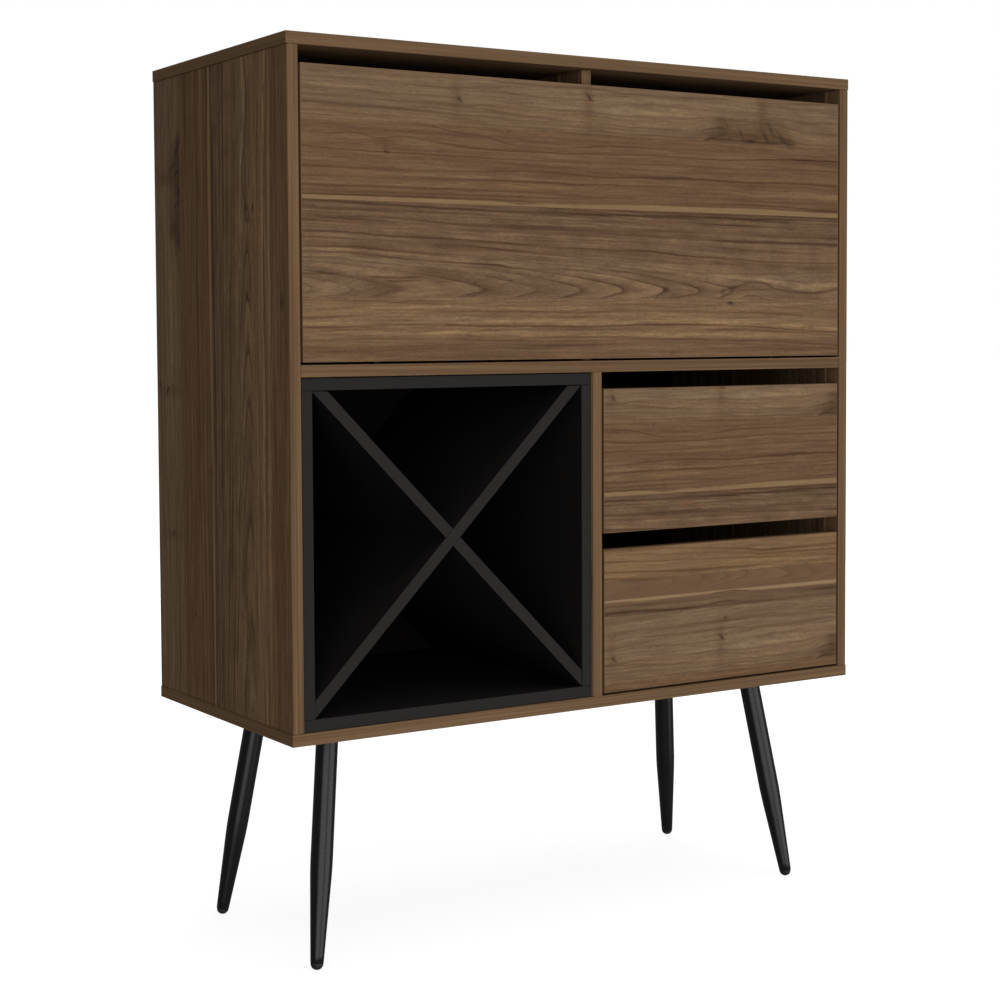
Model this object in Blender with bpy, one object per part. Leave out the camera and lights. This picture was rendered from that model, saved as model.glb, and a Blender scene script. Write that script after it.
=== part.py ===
"""Wine and bar cabinet on four splayed legs.

The origin is on the floor below the middle of the cabinet, the front faces -Y and +Z is up.
Lengths are in metres.
"""

import math

import bmesh
import bpy
from mathutils import Vector

# Body of the cabinet
BODY_WIDTH = 0.900
BODY_DEPTH = 0.400
BODY_HEIGHT = 0.860
LEG_HEIGHT = 0.300
BOARD = 0.015
END_BAND = 0.0008
SEAT_GAP = 0.0003

# Heights above the underside of the body, and distances across from its left face
SHELF_TOP = 0.4625
LOWER_DIVIDER_LEFT = 0.4475
DIVIDER_SETBACK = 0.016

# Back board and the groove that holds it
BACK_THICKNESS = 0.003
BACK_REAR_INSET = 0.012
GROOVE_DEPTH = 0.006

# Fall-front flap
FLAP_SIDE_GAP = 0.003
FLAP_BOTTOM_GAP = 0.003
FLAP_TOP_GAP = 0.0215

# Flap hinges: the pin lies inside the shelf's front, so the open flap is level with the shelf
HINGE_INSET = 0.130
PIN_BACK = 0.0072
PIN_BELOW_SHELF = 0.0078
PIN_RADIUS = 0.0013
PIN_HALF_LENGTH = 0.0084
CUP_BORE_RADIUS = 0.013
CUP_BORE_DEPTH = 0.0125
CUP_EDGE_DISTANCE = 0.0152
CUP_WALL = 0.0012
PUCK_BORE_DEPTH = 0.011
HINGE_ARM_HALF_WIDTH = 0.0035
HINGE_ARM_THICKNESS = 0.0024
HINGE_ARM_REACH = 0.0112
HINGE_ARM_RISE = 0.0293
HINGE_ARM_FOOT = 0.0080
HINGE_BARREL_RADIUS = 0.0024
HINGE_BARREL_CLEARANCE = 0.00008

# Slotted stays of the flap: stud and bracket pin are equally far from the hinge pin
STAY_RADIUS = 0.150
STAY_BRACKET_BACK = 0.0178
STAY_CLOSED_ANGLE = math.radians(30.0)
STAY_OPEN_ANGLE = math.radians(90.0)
STAY_ARM_HALF_WIDTH = 0.006
STAY_ARM_INNER = 0.0019
STAY_ARM_THICKNESS = 0.0019
STAY_PIN_RADIUS = 0.0019
STAY_PIN_CLEARANCE = 0.0001
STAY_SLOT_CLEARANCE = 0.0002
STAY_STUD_RADIUS = 0.0020
STAY_STUD_HEAD_RADIUS = 0.0045
STAY_STUD_HEAD = 0.0012
STAY_STUD_PLATE_RADIUS = 0.010
STAY_STUD_PLATE = 0.0011
STAY_HEAD_RADIUS = 0.0035
STAY_HEAD = 0.0009
STAY_EAR = 0.0020
STAY_EAR_END = 0.0060
STAY_BASE_WIDTH = 0.0220
STAY_BASE_HALF_HEIGHT = 0.0080
STAY_BASE = 0.0020

# Magnetic catches
CATCH_DROP = 0.0435
CATCH_HEIGHT = 0.020
CATCH_WIDTH = 0.014
CATCH_DEPTH = 0.028
STRIKE_INSET = 0.005
STRIKE_WIDTH = 0.014
STRIKE_HEIGHT = 0.014
STRIKE = 0.001

# Insert for bottles
RACK_LEFT_GAP = 0.0017
RACK_RIGHT_GAP = 0.0008
RACK_TOP_GAP = 0.0012
RACK_SETBACK = 0.003
RACK_REAR_GAP = 0.001
RACK_BOARD = 0.015
CROSS_SETBACK = 0.001
CROSS_TOP_PLAY = 0.001
CROSS_BOTTOM_PLAY = 0.0006
CROSS_SLOT_PLAY = 0.0003

# Drawers
DRAWER_FRONT_HEIGHT = 0.1925
DRAWER_SIDE_GAP = 0.003
LOWER_FRONT_UP = 0.018
UPPER_FRONT_UP = 0.2325
DRAWER_BOX_INSET = 0.013
DRAWER_SIDE = 0.012
DRAWER_BOX_HEIGHT = 0.130
DRAWER_BOX_LIFT = 0.014
DRAWER_REAR_GAP = 0.020
DRAWER_BOTTOM = 0.003

# Roller slides of the drawers
RAIL_METAL = 0.0012
RAIL_FRONT = 0.020
RAIL_HEIGHT = 0.028
RAIL_FLANGE = 0.0102
RAIL_LIP = 0.004
RAIL_LIFT = 0.006
ROLLER_RADIUS = 0.0075
ROLLER_WIDTH = 0.0072
ROLLER_GAP = 0.0005
ROLLER_AXLE_RADIUS = 0.0020
ROLLER_END_INSET = 0.010
DRAWER_RAIL_FOOT = 0.010

# Splayed legs
LEG_TOP_INSET = 0.1005
LEG_FOOT_INSET = 0.0595
LEG_RADIUS = 0.0143
LEG_END_RADIUS = 0.0085
LEG_KNEE_SHARE = 0.59
LEG_KNEE_BLEND_SHARE = 0.05
FOOT_FLAT_RADIUS = 0.003
LEG_PLATE = 0.0025
LEG_PLATE_SIZE = 0.070
LEG_PLATE_CORNER = 0.008

ROUND_SEGMENTS = 32
SMALL_SEGMENTS = 20
CORNER_SEGMENTS = 4

MATERIALS = {
    "walnut_board": ((0.160, 0.098, 0.055), 0.55, 0.0),
    "black_board": ((0.026, 0.025, 0.024), 0.60, 0.0),
    "back_board": ((0.022, 0.019, 0.017), 0.75, 0.0),
    "drawer_board": ((0.090, 0.056, 0.032), 0.60, 0.0),
    "leg_black": ((0.018, 0.018, 0.018), 0.38, 0.0),
    "leg_plate_steel": ((0.018, 0.018, 0.018), 0.45, 0.6),
    "foot_plastic": ((0.012, 0.012, 0.012), 0.55, 0.0),
    "zinc_steel": ((0.52, 0.53, 0.55), 0.35, 1.0),
    "rail_steel": ((0.42, 0.43, 0.44), 0.42, 0.9),
}


def clear_scene():
    """Remove every object of the start-up scene."""
    for item in list(bpy.data.objects):
        bpy.data.objects.remove(item, do_unlink=True)


def place(across, back, up):
    """World point: across from the left face, back from the front, up from the body's underside."""
    return Vector((across - BODY_WIDTH / 2, back - BODY_DEPTH / 2, up + LEG_HEIGHT))


def paint(obj, finish):
    """Give an object its own material of the named finish."""
    colour, roughness, metallic = MATERIALS[finish]
    material = bpy.data.materials.new(obj.name + "_" + finish)
    material.use_nodes = True
    shader = material.node_tree.nodes["Principled BSDF"]
    shader.inputs["Base Color"].default_value = (*colour, 1.0)
    shader.inputs["Roughness"].default_value = roughness
    shader.inputs["Metallic"].default_value = metallic
    material.diffuse_color = (*colour, 1.0)
    obj.data.materials.append(material)


def make_object(name, points, faces, finish=None, origin=None, round_angle=None):
    """Build one closed mesh object from world points, with its origin where asked."""
    origin = Vector(origin) if origin is not None else Vector((0.0, 0.0, 0.0))
    mesh = bpy.data.meshes.new(name)
    mesh.from_pydata([Vector(point) - origin for point in points], [], faces)
    shape = bmesh.new()
    shape.from_mesh(mesh)
    bmesh.ops.recalc_face_normals(shape, faces=shape.faces)
    if round_angle is not None:
        for face in shape.faces:
            face.smooth = len(face.verts) == 4
        for edge in shape.edges:
            edge.smooth = len(edge.link_faces) == 2 and edge.calc_face_angle() < round_angle
    shape.to_mesh(mesh)
    shape.free()
    mesh.validate()
    obj = bpy.data.objects.new(name, mesh)
    obj.location = origin
    bpy.context.collection.objects.link(obj)
    if finish is not None:
        paint(obj, finish)
    return obj


def box(name, across, back, up, finish=None, origin=None):
    """Board with square edges between pairs of limits."""
    low = place(min(across), min(back), min(up))
    high = place(max(across), max(back), max(up))
    points = []
    for z in (low.z, high.z):
        points += [(low.x, low.y, z), (high.x, low.y, z), (high.x, high.y, z), (low.x, high.y, z)]
    faces = [(0, 1, 2, 3), (4, 5, 6, 7), (0, 1, 5, 4), (1, 2, 6, 5), (2, 3, 7, 6), (3, 0, 4, 7)]
    return make_object(name, points, faces, finish, origin)


def prism(name, outline, axis, limits, finish=None, origin=None, round_angle=None):
    """Extrude an outline along X (outline of back, up), Y (across, up) or Z (across, back)."""
    points = []
    for level in (min(limits), max(limits)):
        for first, second in outline:
            if axis == "X":
                points.append(place(level, first, second))
            elif axis == "Y":
                points.append(place(first, level, second))
            else:
                points.append(place(first, second, level))
    count = len(outline)
    faces = [tuple(range(count)), tuple(range(count, 2 * count))]
    for i in range(count):
        j = (i + 1) % count
        faces.append((i, j, count + j, count + i))
    return make_object(name, points, faces, finish, origin, round_angle)


def circle(centre, radius, segments):
    """Outline of a circle."""
    return [(centre[0] + radius * math.cos(2 * math.pi * i / segments),
             centre[1] + radius * math.sin(2 * math.pi * i / segments)) for i in range(segments)]


def stadium(start, angle, near, far, half_width, segments):
    """Outline of a slot shape whose ends are centred near and far along a slanted line."""
    along = (math.cos(angle), math.sin(angle))
    side = (-along[1], along[0])
    outline = []
    for centre, turn in ((far, -math.pi / 2), (near, math.pi / 2)):
        for i in range(segments + 1):
            bend = turn + math.pi * i / segments
            s = centre + half_width * math.cos(bend)
            t = half_width * math.sin(bend)
            outline.append((start[0] + s * along[0] + t * side[0], start[1] + s * along[1] + t * side[1]))
    return outline


def loft(name, rings, finish=None, origin=None, round_angle=None):
    """Join rings of equal length into one closed skin with flat ends."""
    count = len(rings[0])
    points = [point for ring in rings for point in ring]
    faces = [tuple(range(count)), tuple(range((len(rings) - 1) * count, len(rings) * count))]
    for k in range(len(rings) - 1):
        for i in range(count):
            j = (i + 1) % count
            faces.append((k * count + i, k * count + j, (k + 1) * count + j, (k + 1) * count + i))
    return make_object(name, points, faces, finish, origin, round_angle)


def combine(obj, tool, operation):
    """Cut or add a tool shape, which stays hidden in the scene."""
    modifier = obj.modifiers.new(tool.name, "BOOLEAN")
    modifier.operation = operation
    modifier.solver = "EXACT"
    modifier.object = tool
    tool.hide_render = True
    tool.display_type = "WIRE"


def mirrored(side, value, total=BODY_WIDTH):
    """Distance across for the left side, or its mirror image for the right side."""
    return value if side == "left" else total - value


def mirrored_pair(side, low, high, total=BODY_WIDTH):
    """Pair of distances across, mirrored for the right side."""
    return (mirrored(side, low, total), mirrored(side, high, total))


def back_board_front():
    """Distance back to the front face of the back board."""
    return BODY_DEPTH - BACK_REAR_INSET - BACK_THICKNESS


def back_groove(name, across, up):
    """Tool shape of the groove for the back board."""
    front = back_board_front() - SEAT_GAP
    rear = BODY_DEPTH - BACK_REAR_INSET + SEAT_GAP
    return box(name, across, (front, rear), up)


def build_carcass():
    """Outer boards, shelf, dividers and back board."""
    inner_left = BOARD
    inner_right = BODY_WIDTH - BOARD
    inner_top = BODY_HEIGHT - BOARD
    shelf_rear = back_board_front() - SEAT_GAP
    full_depth = (0.0, BODY_DEPTH)
    groove_across = (inner_left - GROOVE_DEPTH, inner_right + GROOVE_DEPTH)

    top = box("top_panel", (-END_BAND, BODY_WIDTH + END_BAND), full_depth, (inner_top, BODY_HEIGHT), "walnut_board")
    combine(top, back_groove("cut_top_groove", groove_across, (inner_top - BOARD, inner_top + GROOVE_DEPTH)),
            "DIFFERENCE")
    bottom = box("bottom_panel", (-END_BAND, BODY_WIDTH + END_BAND), full_depth, (0.0, BOARD), "walnut_board")
    combine(bottom, back_groove("cut_bottom_groove", groove_across, (BOARD - GROOVE_DEPTH, 2 * BOARD)), "DIFFERENCE")

    for side in ("left", "right"):
        panel = box(side + "_side_panel", mirrored_pair(side, 0.0, BOARD), full_depth,
                    (BOARD + SEAT_GAP, inner_top - SEAT_GAP), "walnut_board")
        groove = back_groove("cut_" + side + "_groove", mirrored_pair(side, BOARD - GROOVE_DEPTH, 2 * BOARD),
                             (0.0, BODY_HEIGHT))
        combine(panel, groove, "DIFFERENCE")

    shelf = box("middle_shelf", (inner_left + SEAT_GAP, inner_right - SEAT_GAP), (0.0, shelf_rear),
                (SHELF_TOP - BOARD, SHELF_TOP), "walnut_board")
    for side in ("left", "right"):
        centre = (mirrored(side, HINGE_INSET), CUP_EDGE_DISTANCE)
        bore = prism("cut_shelf_bore_" + side, circle(centre, CUP_BORE_RADIUS, ROUND_SEGMENTS), "Z",
                     (SHELF_TOP - CUP_BORE_DEPTH, SHELF_TOP + BOARD))
        combine(shelf, bore, "DIFFERENCE")

    middle = BODY_WIDTH / 2
    box("upper_divider", (middle - BOARD / 2, middle + BOARD / 2), (DIVIDER_SETBACK, shelf_rear),
        (SHELF_TOP + SEAT_GAP, inner_top - SEAT_GAP), "walnut_board")
    box("lower_divider", (LOWER_DIVIDER_LEFT, LOWER_DIVIDER_LEFT + BOARD), (0.0, shelf_rear),
        (BOARD + SEAT_GAP, SHELF_TOP - BOARD - SEAT_GAP), "walnut_board")

    reach = GROOVE_DEPTH - SEAT_GAP
    rear = BODY_DEPTH - BACK_REAR_INSET
    box("back_panel", (inner_left - reach, inner_right + reach), (rear - BACK_THICKNESS, rear),
        (BOARD - reach, inner_top + reach), "back_board")


def build_rack():
    """Black insert: four boards round two crossing boards."""
    left = BOARD + RACK_LEFT_GAP
    right = LOWER_DIVIDER_LEFT - RACK_RIGHT_GAP
    low = BOARD + SEAT_GAP
    high = SHELF_TOP - BOARD - RACK_TOP_GAP
    rear = back_board_front() - RACK_REAR_GAP
    back = (RACK_SETBACK, rear)
    box("rack_top_board", (left, right), back, (high - RACK_BOARD, high), "black_board")
    box("rack_bottom_board", (left, right), back, (low, low + RACK_BOARD), "black_board")
    sides_up = (low + RACK_BOARD + SEAT_GAP, high - RACK_BOARD - SEAT_GAP)
    box("rack_left_board", (left, left + RACK_BOARD), back, sides_up, "black_board")
    box("rack_right_board", (right - RACK_BOARD, right), back, sides_up, "black_board")

    # Crossing boards: their lower faces run from inner corner to inner corner
    x0 = left + RACK_BOARD + SEAT_GAP
    x1 = right - RACK_BOARD - SEAT_GAP
    z0 = low + RACK_BOARD + CROSS_BOTTOM_PLAY
    z1 = high - RACK_BOARD - CROSS_TOP_PLAY
    slope = math.atan2(z1 - z0, x1 - x0)
    wide = RACK_BOARD / math.sin(slope)
    tall = RACK_BOARD / math.cos(slope)
    front = RACK_SETBACK + CROSS_SETBACK
    halfway = (front + rear) / 2
    rising = [(x0, z0), (x1, z1), (x1 - wide, z1), (x0, z0 + tall)]
    falling = [(x0, z1), (x1, z0), (x1, z0 + tall), (x0 + wide, z1)]
    rising_board = prism("rack_rising_board", rising, "Y", (front, rear), "black_board")
    falling_board = prism("rack_falling_board", falling, "Y", (front, rear), "black_board")

    # Half-depth slots where the two boards cross
    centre_x = (x0 + x1) / 2
    centre_z = (z0 + z1) / 2 + tall / 2
    half = RACK_BOARD / 2 + CROSS_SLOT_PLAY
    reach = 2 * RACK_BOARD
    for board, angle, limits in ((falling_board, slope, (front - BOARD, halfway + SEAT_GAP / 2)),
                                 (rising_board, -slope, (halfway - SEAT_GAP / 2, rear + BOARD))):
        outline = []
        for s, t in ((-reach, -half), (reach, -half), (reach, half), (-reach, half)):
            outline.append((centre_x + s * math.cos(angle) - t * math.sin(angle),
                            centre_z + s * math.sin(angle) + t * math.cos(angle)))
        combine(board, prism("cut_slot_" + board.name, outline, "Y", limits), "DIFFERENCE")


def hinge_pin():
    """Back and up distances of the flap's hinge pin."""
    return (PIN_BACK, SHELF_TOP - PIN_BELOW_SHELF)


def flap_top():
    """Height of the flap's upper edge above the underside of the body."""
    return BODY_HEIGHT - BOARD - FLAP_TOP_GAP


def build_flap():
    """Fall-front flap with the bores for its hinges."""
    pin = hinge_pin()
    origin = place(BODY_WIDTH / 2, pin[0], pin[1])
    left = BOARD + FLAP_SIDE_GAP
    low = SHELF_TOP + FLAP_BOTTOM_GAP
    high = flap_top()
    flap = box("flap_panel", (left, BODY_WIDTH - left), (0.0, BOARD), (low, high), "walnut_board", origin)
    for side in ("left", "right"):
        centre = (mirrored(side, HINGE_INSET), low + CUP_EDGE_DISTANCE)
        bore = prism("cut_flap_bore_" + side, circle(centre, CUP_BORE_RADIUS, ROUND_SEGMENTS), "Y",
                     (BOARD - PUCK_BORE_DEPTH, 2 * BOARD))
        combine(flap, bore, "DIFFERENCE")


def build_hinge(side):
    """Concealed hinge: cup with its pin in the shelf, cranked arm with its puck in the flap."""
    pin = hinge_pin()
    middle = mirrored(side, HINGE_INSET)
    outer = CUP_BORE_RADIUS - SEAT_GAP
    inner = outer - CUP_WALL
    floor = SHELF_TOP - CUP_BORE_DEPTH + SEAT_GAP
    rings = []
    for radius, up in ((outer, floor), (outer, SHELF_TOP), (inner, SHELF_TOP), (inner, floor + CUP_WALL)):
        rings.append([place(x, y, up) for x, y in circle((middle, CUP_EDGE_DISTANCE), radius, ROUND_SEGMENTS)])
    cup = loft(side + "_hinge_cup", rings, "zinc_steel", None, math.radians(40.0))
    bar = prism("add_" + side + "_hinge_pin", circle(pin, PIN_RADIUS, SMALL_SEGMENTS), "X",
                (middle - PIN_HALF_LENGTH, middle + PIN_HALF_LENGTH))
    combine(cup, bar, "UNION")

    origin = place(middle, pin[0], pin[1])
    puck_up = SHELF_TOP + FLAP_BOTTOM_GAP + CUP_EDGE_DISTANCE
    arm = prism(side + "_hinge_arm", circle((middle, puck_up), outer, ROUND_SEGMENTS), "Y",
                (BOARD - PUCK_BORE_DEPTH + SEAT_GAP, BOARD), "zinc_steel", origin, math.radians(40.0))
    half = HINGE_ARM_THICKNESS / 2
    far = pin[0] + HINGE_ARM_REACH
    top = pin[1] + HINGE_ARM_RISE
    outline = [(pin[0], pin[1] - half), (far, pin[1] - half), (far, top),
               (BOARD - HINGE_ARM_THICKNESS, top), (BOARD - HINGE_ARM_THICKNESS, top - HINGE_ARM_FOOT),
               (far - HINGE_ARM_THICKNESS, top - HINGE_ARM_FOOT), (far - HINGE_ARM_THICKNESS, pin[1] + half),
               (pin[0], pin[1] + half)]
    width = (middle - HINGE_ARM_HALF_WIDTH, middle + HINGE_ARM_HALF_WIDTH)
    crank = prism("add_" + side + "_hinge_crank", outline, "X", width)
    barrel = prism("add_" + side + "_hinge_barrel", circle(pin, HINGE_BARREL_RADIUS, SMALL_SEGMENTS), "X",
                   (middle - HINGE_ARM_HALF_WIDTH - SEAT_GAP, middle + HINGE_ARM_HALF_WIDTH + SEAT_GAP))
    bore = prism("cut_" + side + "_hinge_bore",
                 circle(pin, PIN_RADIUS + HINGE_BARREL_CLEARANCE, SMALL_SEGMENTS), "X",
                 (middle - 2 * HINGE_ARM_HALF_WIDTH, middle + 2 * HINGE_ARM_HALF_WIDTH))
    combine(arm, crank, "UNION")
    combine(arm, barrel, "UNION")
    combine(arm, bore, "DIFFERENCE")


def stay_points():
    """Bracket pin and stud, as back and up distances, and the slope of the closed arm."""
    pin = hinge_pin()
    rise = math.sqrt(STAY_RADIUS ** 2 - STAY_BRACKET_BACK ** 2)
    bracket = (pin[0] + STAY_BRACKET_BACK, pin[1] + rise)
    bracket_angle = math.atan2(rise, STAY_BRACKET_BACK)
    stud_angle = bracket_angle - STAY_CLOSED_ANGLE
    stud = (pin[0] + STAY_RADIUS * math.cos(stud_angle), pin[1] + STAY_RADIUS * math.sin(stud_angle))
    slope = math.atan2(stud[1] - bracket[1], stud[0] - bracket[0])
    return bracket, stud, slope


def build_stay(side):
    """Slotted stay: arm on the flap's bracket, sliding over a stud on the side board."""
    bracket, stud, slope = stay_points()
    near = 2 * STAY_RADIUS * math.sin(STAY_CLOSED_ANGLE / 2)
    far = 2 * STAY_RADIUS * math.sin((STAY_CLOSED_ANGLE + STAY_OPEN_ANGLE) / 2)
    arm_low = BOARD + STAY_ARM_INNER
    arm_high = arm_low + STAY_ARM_THICKNESS
    origin = place(mirrored(side, arm_low), bracket[0], bracket[1])
    smooth = math.radians(30.0)
    outline = stadium(bracket, slope, 0.0, far, STAY_ARM_HALF_WIDTH, SMALL_SEGMENTS)
    arm = prism(side + "_stay_arm", outline, "X", mirrored_pair(side, arm_low, arm_high), "zinc_steel", origin, smooth)
    slot_half = STAY_STUD_RADIUS + STAY_SLOT_CLEARANCE
    slot = stadium(bracket, slope, near - STAY_SLOT_CLEARANCE, far + STAY_SLOT_CLEARANCE, slot_half, SMALL_SEGMENTS)
    combine(arm, prism("cut_" + side + "_stay_slot", slot, "X", mirrored_pair(side, 0.0, 2 * BOARD)), "DIFFERENCE")
    hole = circle(bracket, STAY_PIN_RADIUS + STAY_PIN_CLEARANCE, SMALL_SEGMENTS)
    combine(arm, prism("cut_" + side + "_stay_hole", hole, "X", mirrored_pair(side, 0.0, 2 * BOARD)), "DIFFERENCE")

    plate = (BOARD + SEAT_GAP, BOARD + SEAT_GAP + STAY_STUD_PLATE)
    piece = prism(side + "_stay_stud", circle(stud, STAY_STUD_PLATE_RADIUS, ROUND_SEGMENTS), "X",
                  mirrored_pair(side, *plate), "zinc_steel", None, smooth)
    head_low = arm_high + SEAT_GAP
    shank = prism("add_" + side + "_stud_shank", circle(stud, STAY_STUD_RADIUS, SMALL_SEGMENTS), "X",
                  mirrored_pair(side, plate[0] + STAY_STUD_PLATE / 2, head_low + STAY_STUD_HEAD / 2))
    head = prism("add_" + side + "_stud_head", circle(stud, STAY_STUD_HEAD_RADIUS, SMALL_SEGMENTS), "X",
                 mirrored_pair(side, head_low, head_low + STAY_STUD_HEAD))
    combine(piece, shank, "UNION")
    combine(piece, head, "UNION")

    ear = arm_high + SEAT_GAP
    face = BOARD + SEAT_GAP
    outline = [(mirrored(side, across), back) for across, back in (
        (ear, face), (ear + STAY_BASE_WIDTH, face), (ear + STAY_BASE_WIDTH, face + STAY_BASE),
        (ear + STAY_EAR, face + STAY_BASE), (ear + STAY_EAR, bracket[0] + STAY_EAR_END),
        (ear, bracket[0] + STAY_EAR_END))]
    base = prism(side + "_stay_bracket", outline, "Z",
                 (bracket[1] - STAY_BASE_HALF_HEIGHT, bracket[1] + STAY_BASE_HALF_HEIGHT), "zinc_steel",
                 place(BODY_WIDTH / 2, *hinge_pin()))
    head_high = arm_low - SEAT_GAP
    pivot = prism("add_" + side + "_stay_pin", circle(bracket, STAY_PIN_RADIUS, SMALL_SEGMENTS), "X",
                  mirrored_pair(side, head_high - STAY_HEAD / 2, ear + STAY_EAR / 2))
    cap = prism("add_" + side + "_stay_pin_head", circle(bracket, STAY_HEAD_RADIUS, SMALL_SEGMENTS), "X",
                mirrored_pair(side, head_high - STAY_HEAD, head_high))
    combine(base, pivot, "UNION")
    combine(base, cap, "UNION")


def build_catch(side):
    """Magnetic catch on the side board and its steel plate on the flap."""
    across = mirrored_pair(side, BOARD + SEAT_GAP, BOARD + SEAT_GAP + CATCH_WIDTH)
    face = BOARD + SEAT_GAP
    front = face + STRIKE + SEAT_GAP
    middle = flap_top() - CATCH_DROP
    box(side + "_flap_catch", across, (front, front + CATCH_DEPTH),
        (middle - CATCH_HEIGHT / 2, middle + CATCH_HEIGHT / 2), "foot_plastic")
    box(side + "_catch_plate", mirrored_pair(side, BOARD + STRIKE_INSET, BOARD + STRIKE_INSET + STRIKE_WIDTH),
        (face, face + STRIKE), (middle - STRIKE_HEIGHT / 2, middle + STRIKE_HEIGHT / 2), "zinc_steel",
        place(BODY_WIDTH / 2, *hinge_pin()))


def build_drawer(name, front_up):
    """Drawer with its inset front and both halves of its roller slides."""
    opening_left = LOWER_DIVIDER_LEFT + BOARD
    opening_right = BODY_WIDTH - BOARD
    total = opening_left + opening_right
    origin = place(total / 2, 0.0, front_up)
    left = opening_left + DRAWER_BOX_INSET
    right = opening_right - DRAWER_BOX_INSET
    face = BOARD + SEAT_GAP
    rear = back_board_front() - DRAWER_REAR_GAP
    low = front_up + DRAWER_BOX_LIFT
    high = low + DRAWER_BOX_HEIGHT
    box(name + "_front", (opening_left + DRAWER_SIDE_GAP, opening_right - DRAWER_SIDE_GAP), (0.0, BOARD),
        (front_up, front_up + DRAWER_FRONT_HEIGHT), "walnut_board", origin)
    box(name + "_left_side", (left, left + DRAWER_SIDE), (face, rear), (low, high), "drawer_board", origin)
    box(name + "_right_side", (right - DRAWER_SIDE, right), (face, rear), (low, high), "drawer_board", origin)
    box(name + "_back", (left + DRAWER_SIDE + SEAT_GAP, right - DRAWER_SIDE - SEAT_GAP),
        (rear - DRAWER_SIDE, rear), (low, high), "drawer_board", origin)
    bottom_high = low - SEAT_GAP
    bottom_low = bottom_high - DRAWER_BOTTOM
    box(name + "_bottom", (left, right), (face, rear), (bottom_low, bottom_high), "back_board", origin)

    for side in ("left", "right"):
        build_slide(name, side, opening_left, total, bottom_low, origin)


def build_slide(name, side, opening_left, total, bottom_low, origin):
    """Roller slide: channel on the cabinet, angle on the drawer, each with its roller."""
    rail_low = bottom_low - SEAT_GAP - RAIL_METAL
    channel_low = rail_low - RAIL_LIFT / 2
    web = opening_left + SEAT_GAP
    lip = web + RAIL_FLANGE
    outline = [(web, channel_low), (lip, channel_low), (lip, channel_low + RAIL_LIP),
               (lip - RAIL_METAL, channel_low + RAIL_LIP), (lip - RAIL_METAL, channel_low + RAIL_METAL),
               (web + RAIL_METAL, channel_low + RAIL_METAL), (web + RAIL_METAL, channel_low + RAIL_HEIGHT),
               (web, channel_low + RAIL_HEIGHT)]
    outline = [(mirrored(side, across, total), up) for across, up in outline]
    rail_rear = back_board_front() - DRAWER_REAR_GAP
    limits = (RAIL_FRONT, rail_rear)
    channel = prism(name + "_" + side + "_cabinet_rail", outline, "Y", limits, "rail_steel")
    axle_up = channel_low + RAIL_METAL + ROLLER_GAP + ROLLER_RADIUS
    front_centre = (RAIL_FRONT + ROLLER_END_INSET, axle_up)
    wheel = prism("add_" + name + "_" + side + "_front_roller",
                  circle(front_centre, ROLLER_RADIUS, SMALL_SEGMENTS), "X",
                  mirrored_pair(side, web + RAIL_METAL / 2, web + RAIL_METAL + ROLLER_WIDTH, total))
    combine(channel, wheel, "UNION")

    face = opening_left + DRAWER_BOX_INSET - SEAT_GAP
    flange_low = axle_up + ROLLER_RADIUS + ROLLER_GAP
    flange_high = flange_low + RAIL_METAL
    reach = web + RAIL_METAL + ROLLER_GAP
    outline = [(face, rail_low + RAIL_METAL), (face, flange_high), (reach, flange_high), (reach, flange_low),
               (face - RAIL_METAL, flange_low), (face - RAIL_METAL, rail_low),
               (face + DRAWER_RAIL_FOOT, rail_low), (face + DRAWER_RAIL_FOOT, rail_low + RAIL_METAL)]
    outline = [(mirrored(side, across, total), up) for across, up in outline]
    angle = prism(name + "_" + side + "_drawer_rail", outline, "Y", limits, "rail_steel", origin)
    rear_centre = (rail_rear - ROLLER_END_INSET, axle_up)
    wheel_end = lip - RAIL_METAL - ROLLER_GAP
    wheel = prism("add_" + name + "_" + side + "_rear_roller",
                  circle(rear_centre, ROLLER_RADIUS, SMALL_SEGMENTS), "X",
                  mirrored_pair(side, reach, wheel_end, total))
    axle = prism("add_" + name + "_" + side + "_rear_axle",
                 circle(rear_centre, ROLLER_AXLE_RADIUS, SMALL_SEGMENTS), "X",
                 mirrored_pair(side, wheel_end - ROLLER_GAP, face - RAIL_METAL / 2, total))
    combine(angle, wheel, "UNION")
    combine(angle, axle, "UNION")


def ring(centre, first, second, radius, segments):
    """Points of a circle in the plane of two unit directions."""
    points = []
    for i in range(segments):
        turn = 2 * math.pi * i / segments
        points.append(centre + radius * (math.cos(turn) * first + math.sin(turn) * second))
    return points


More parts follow.
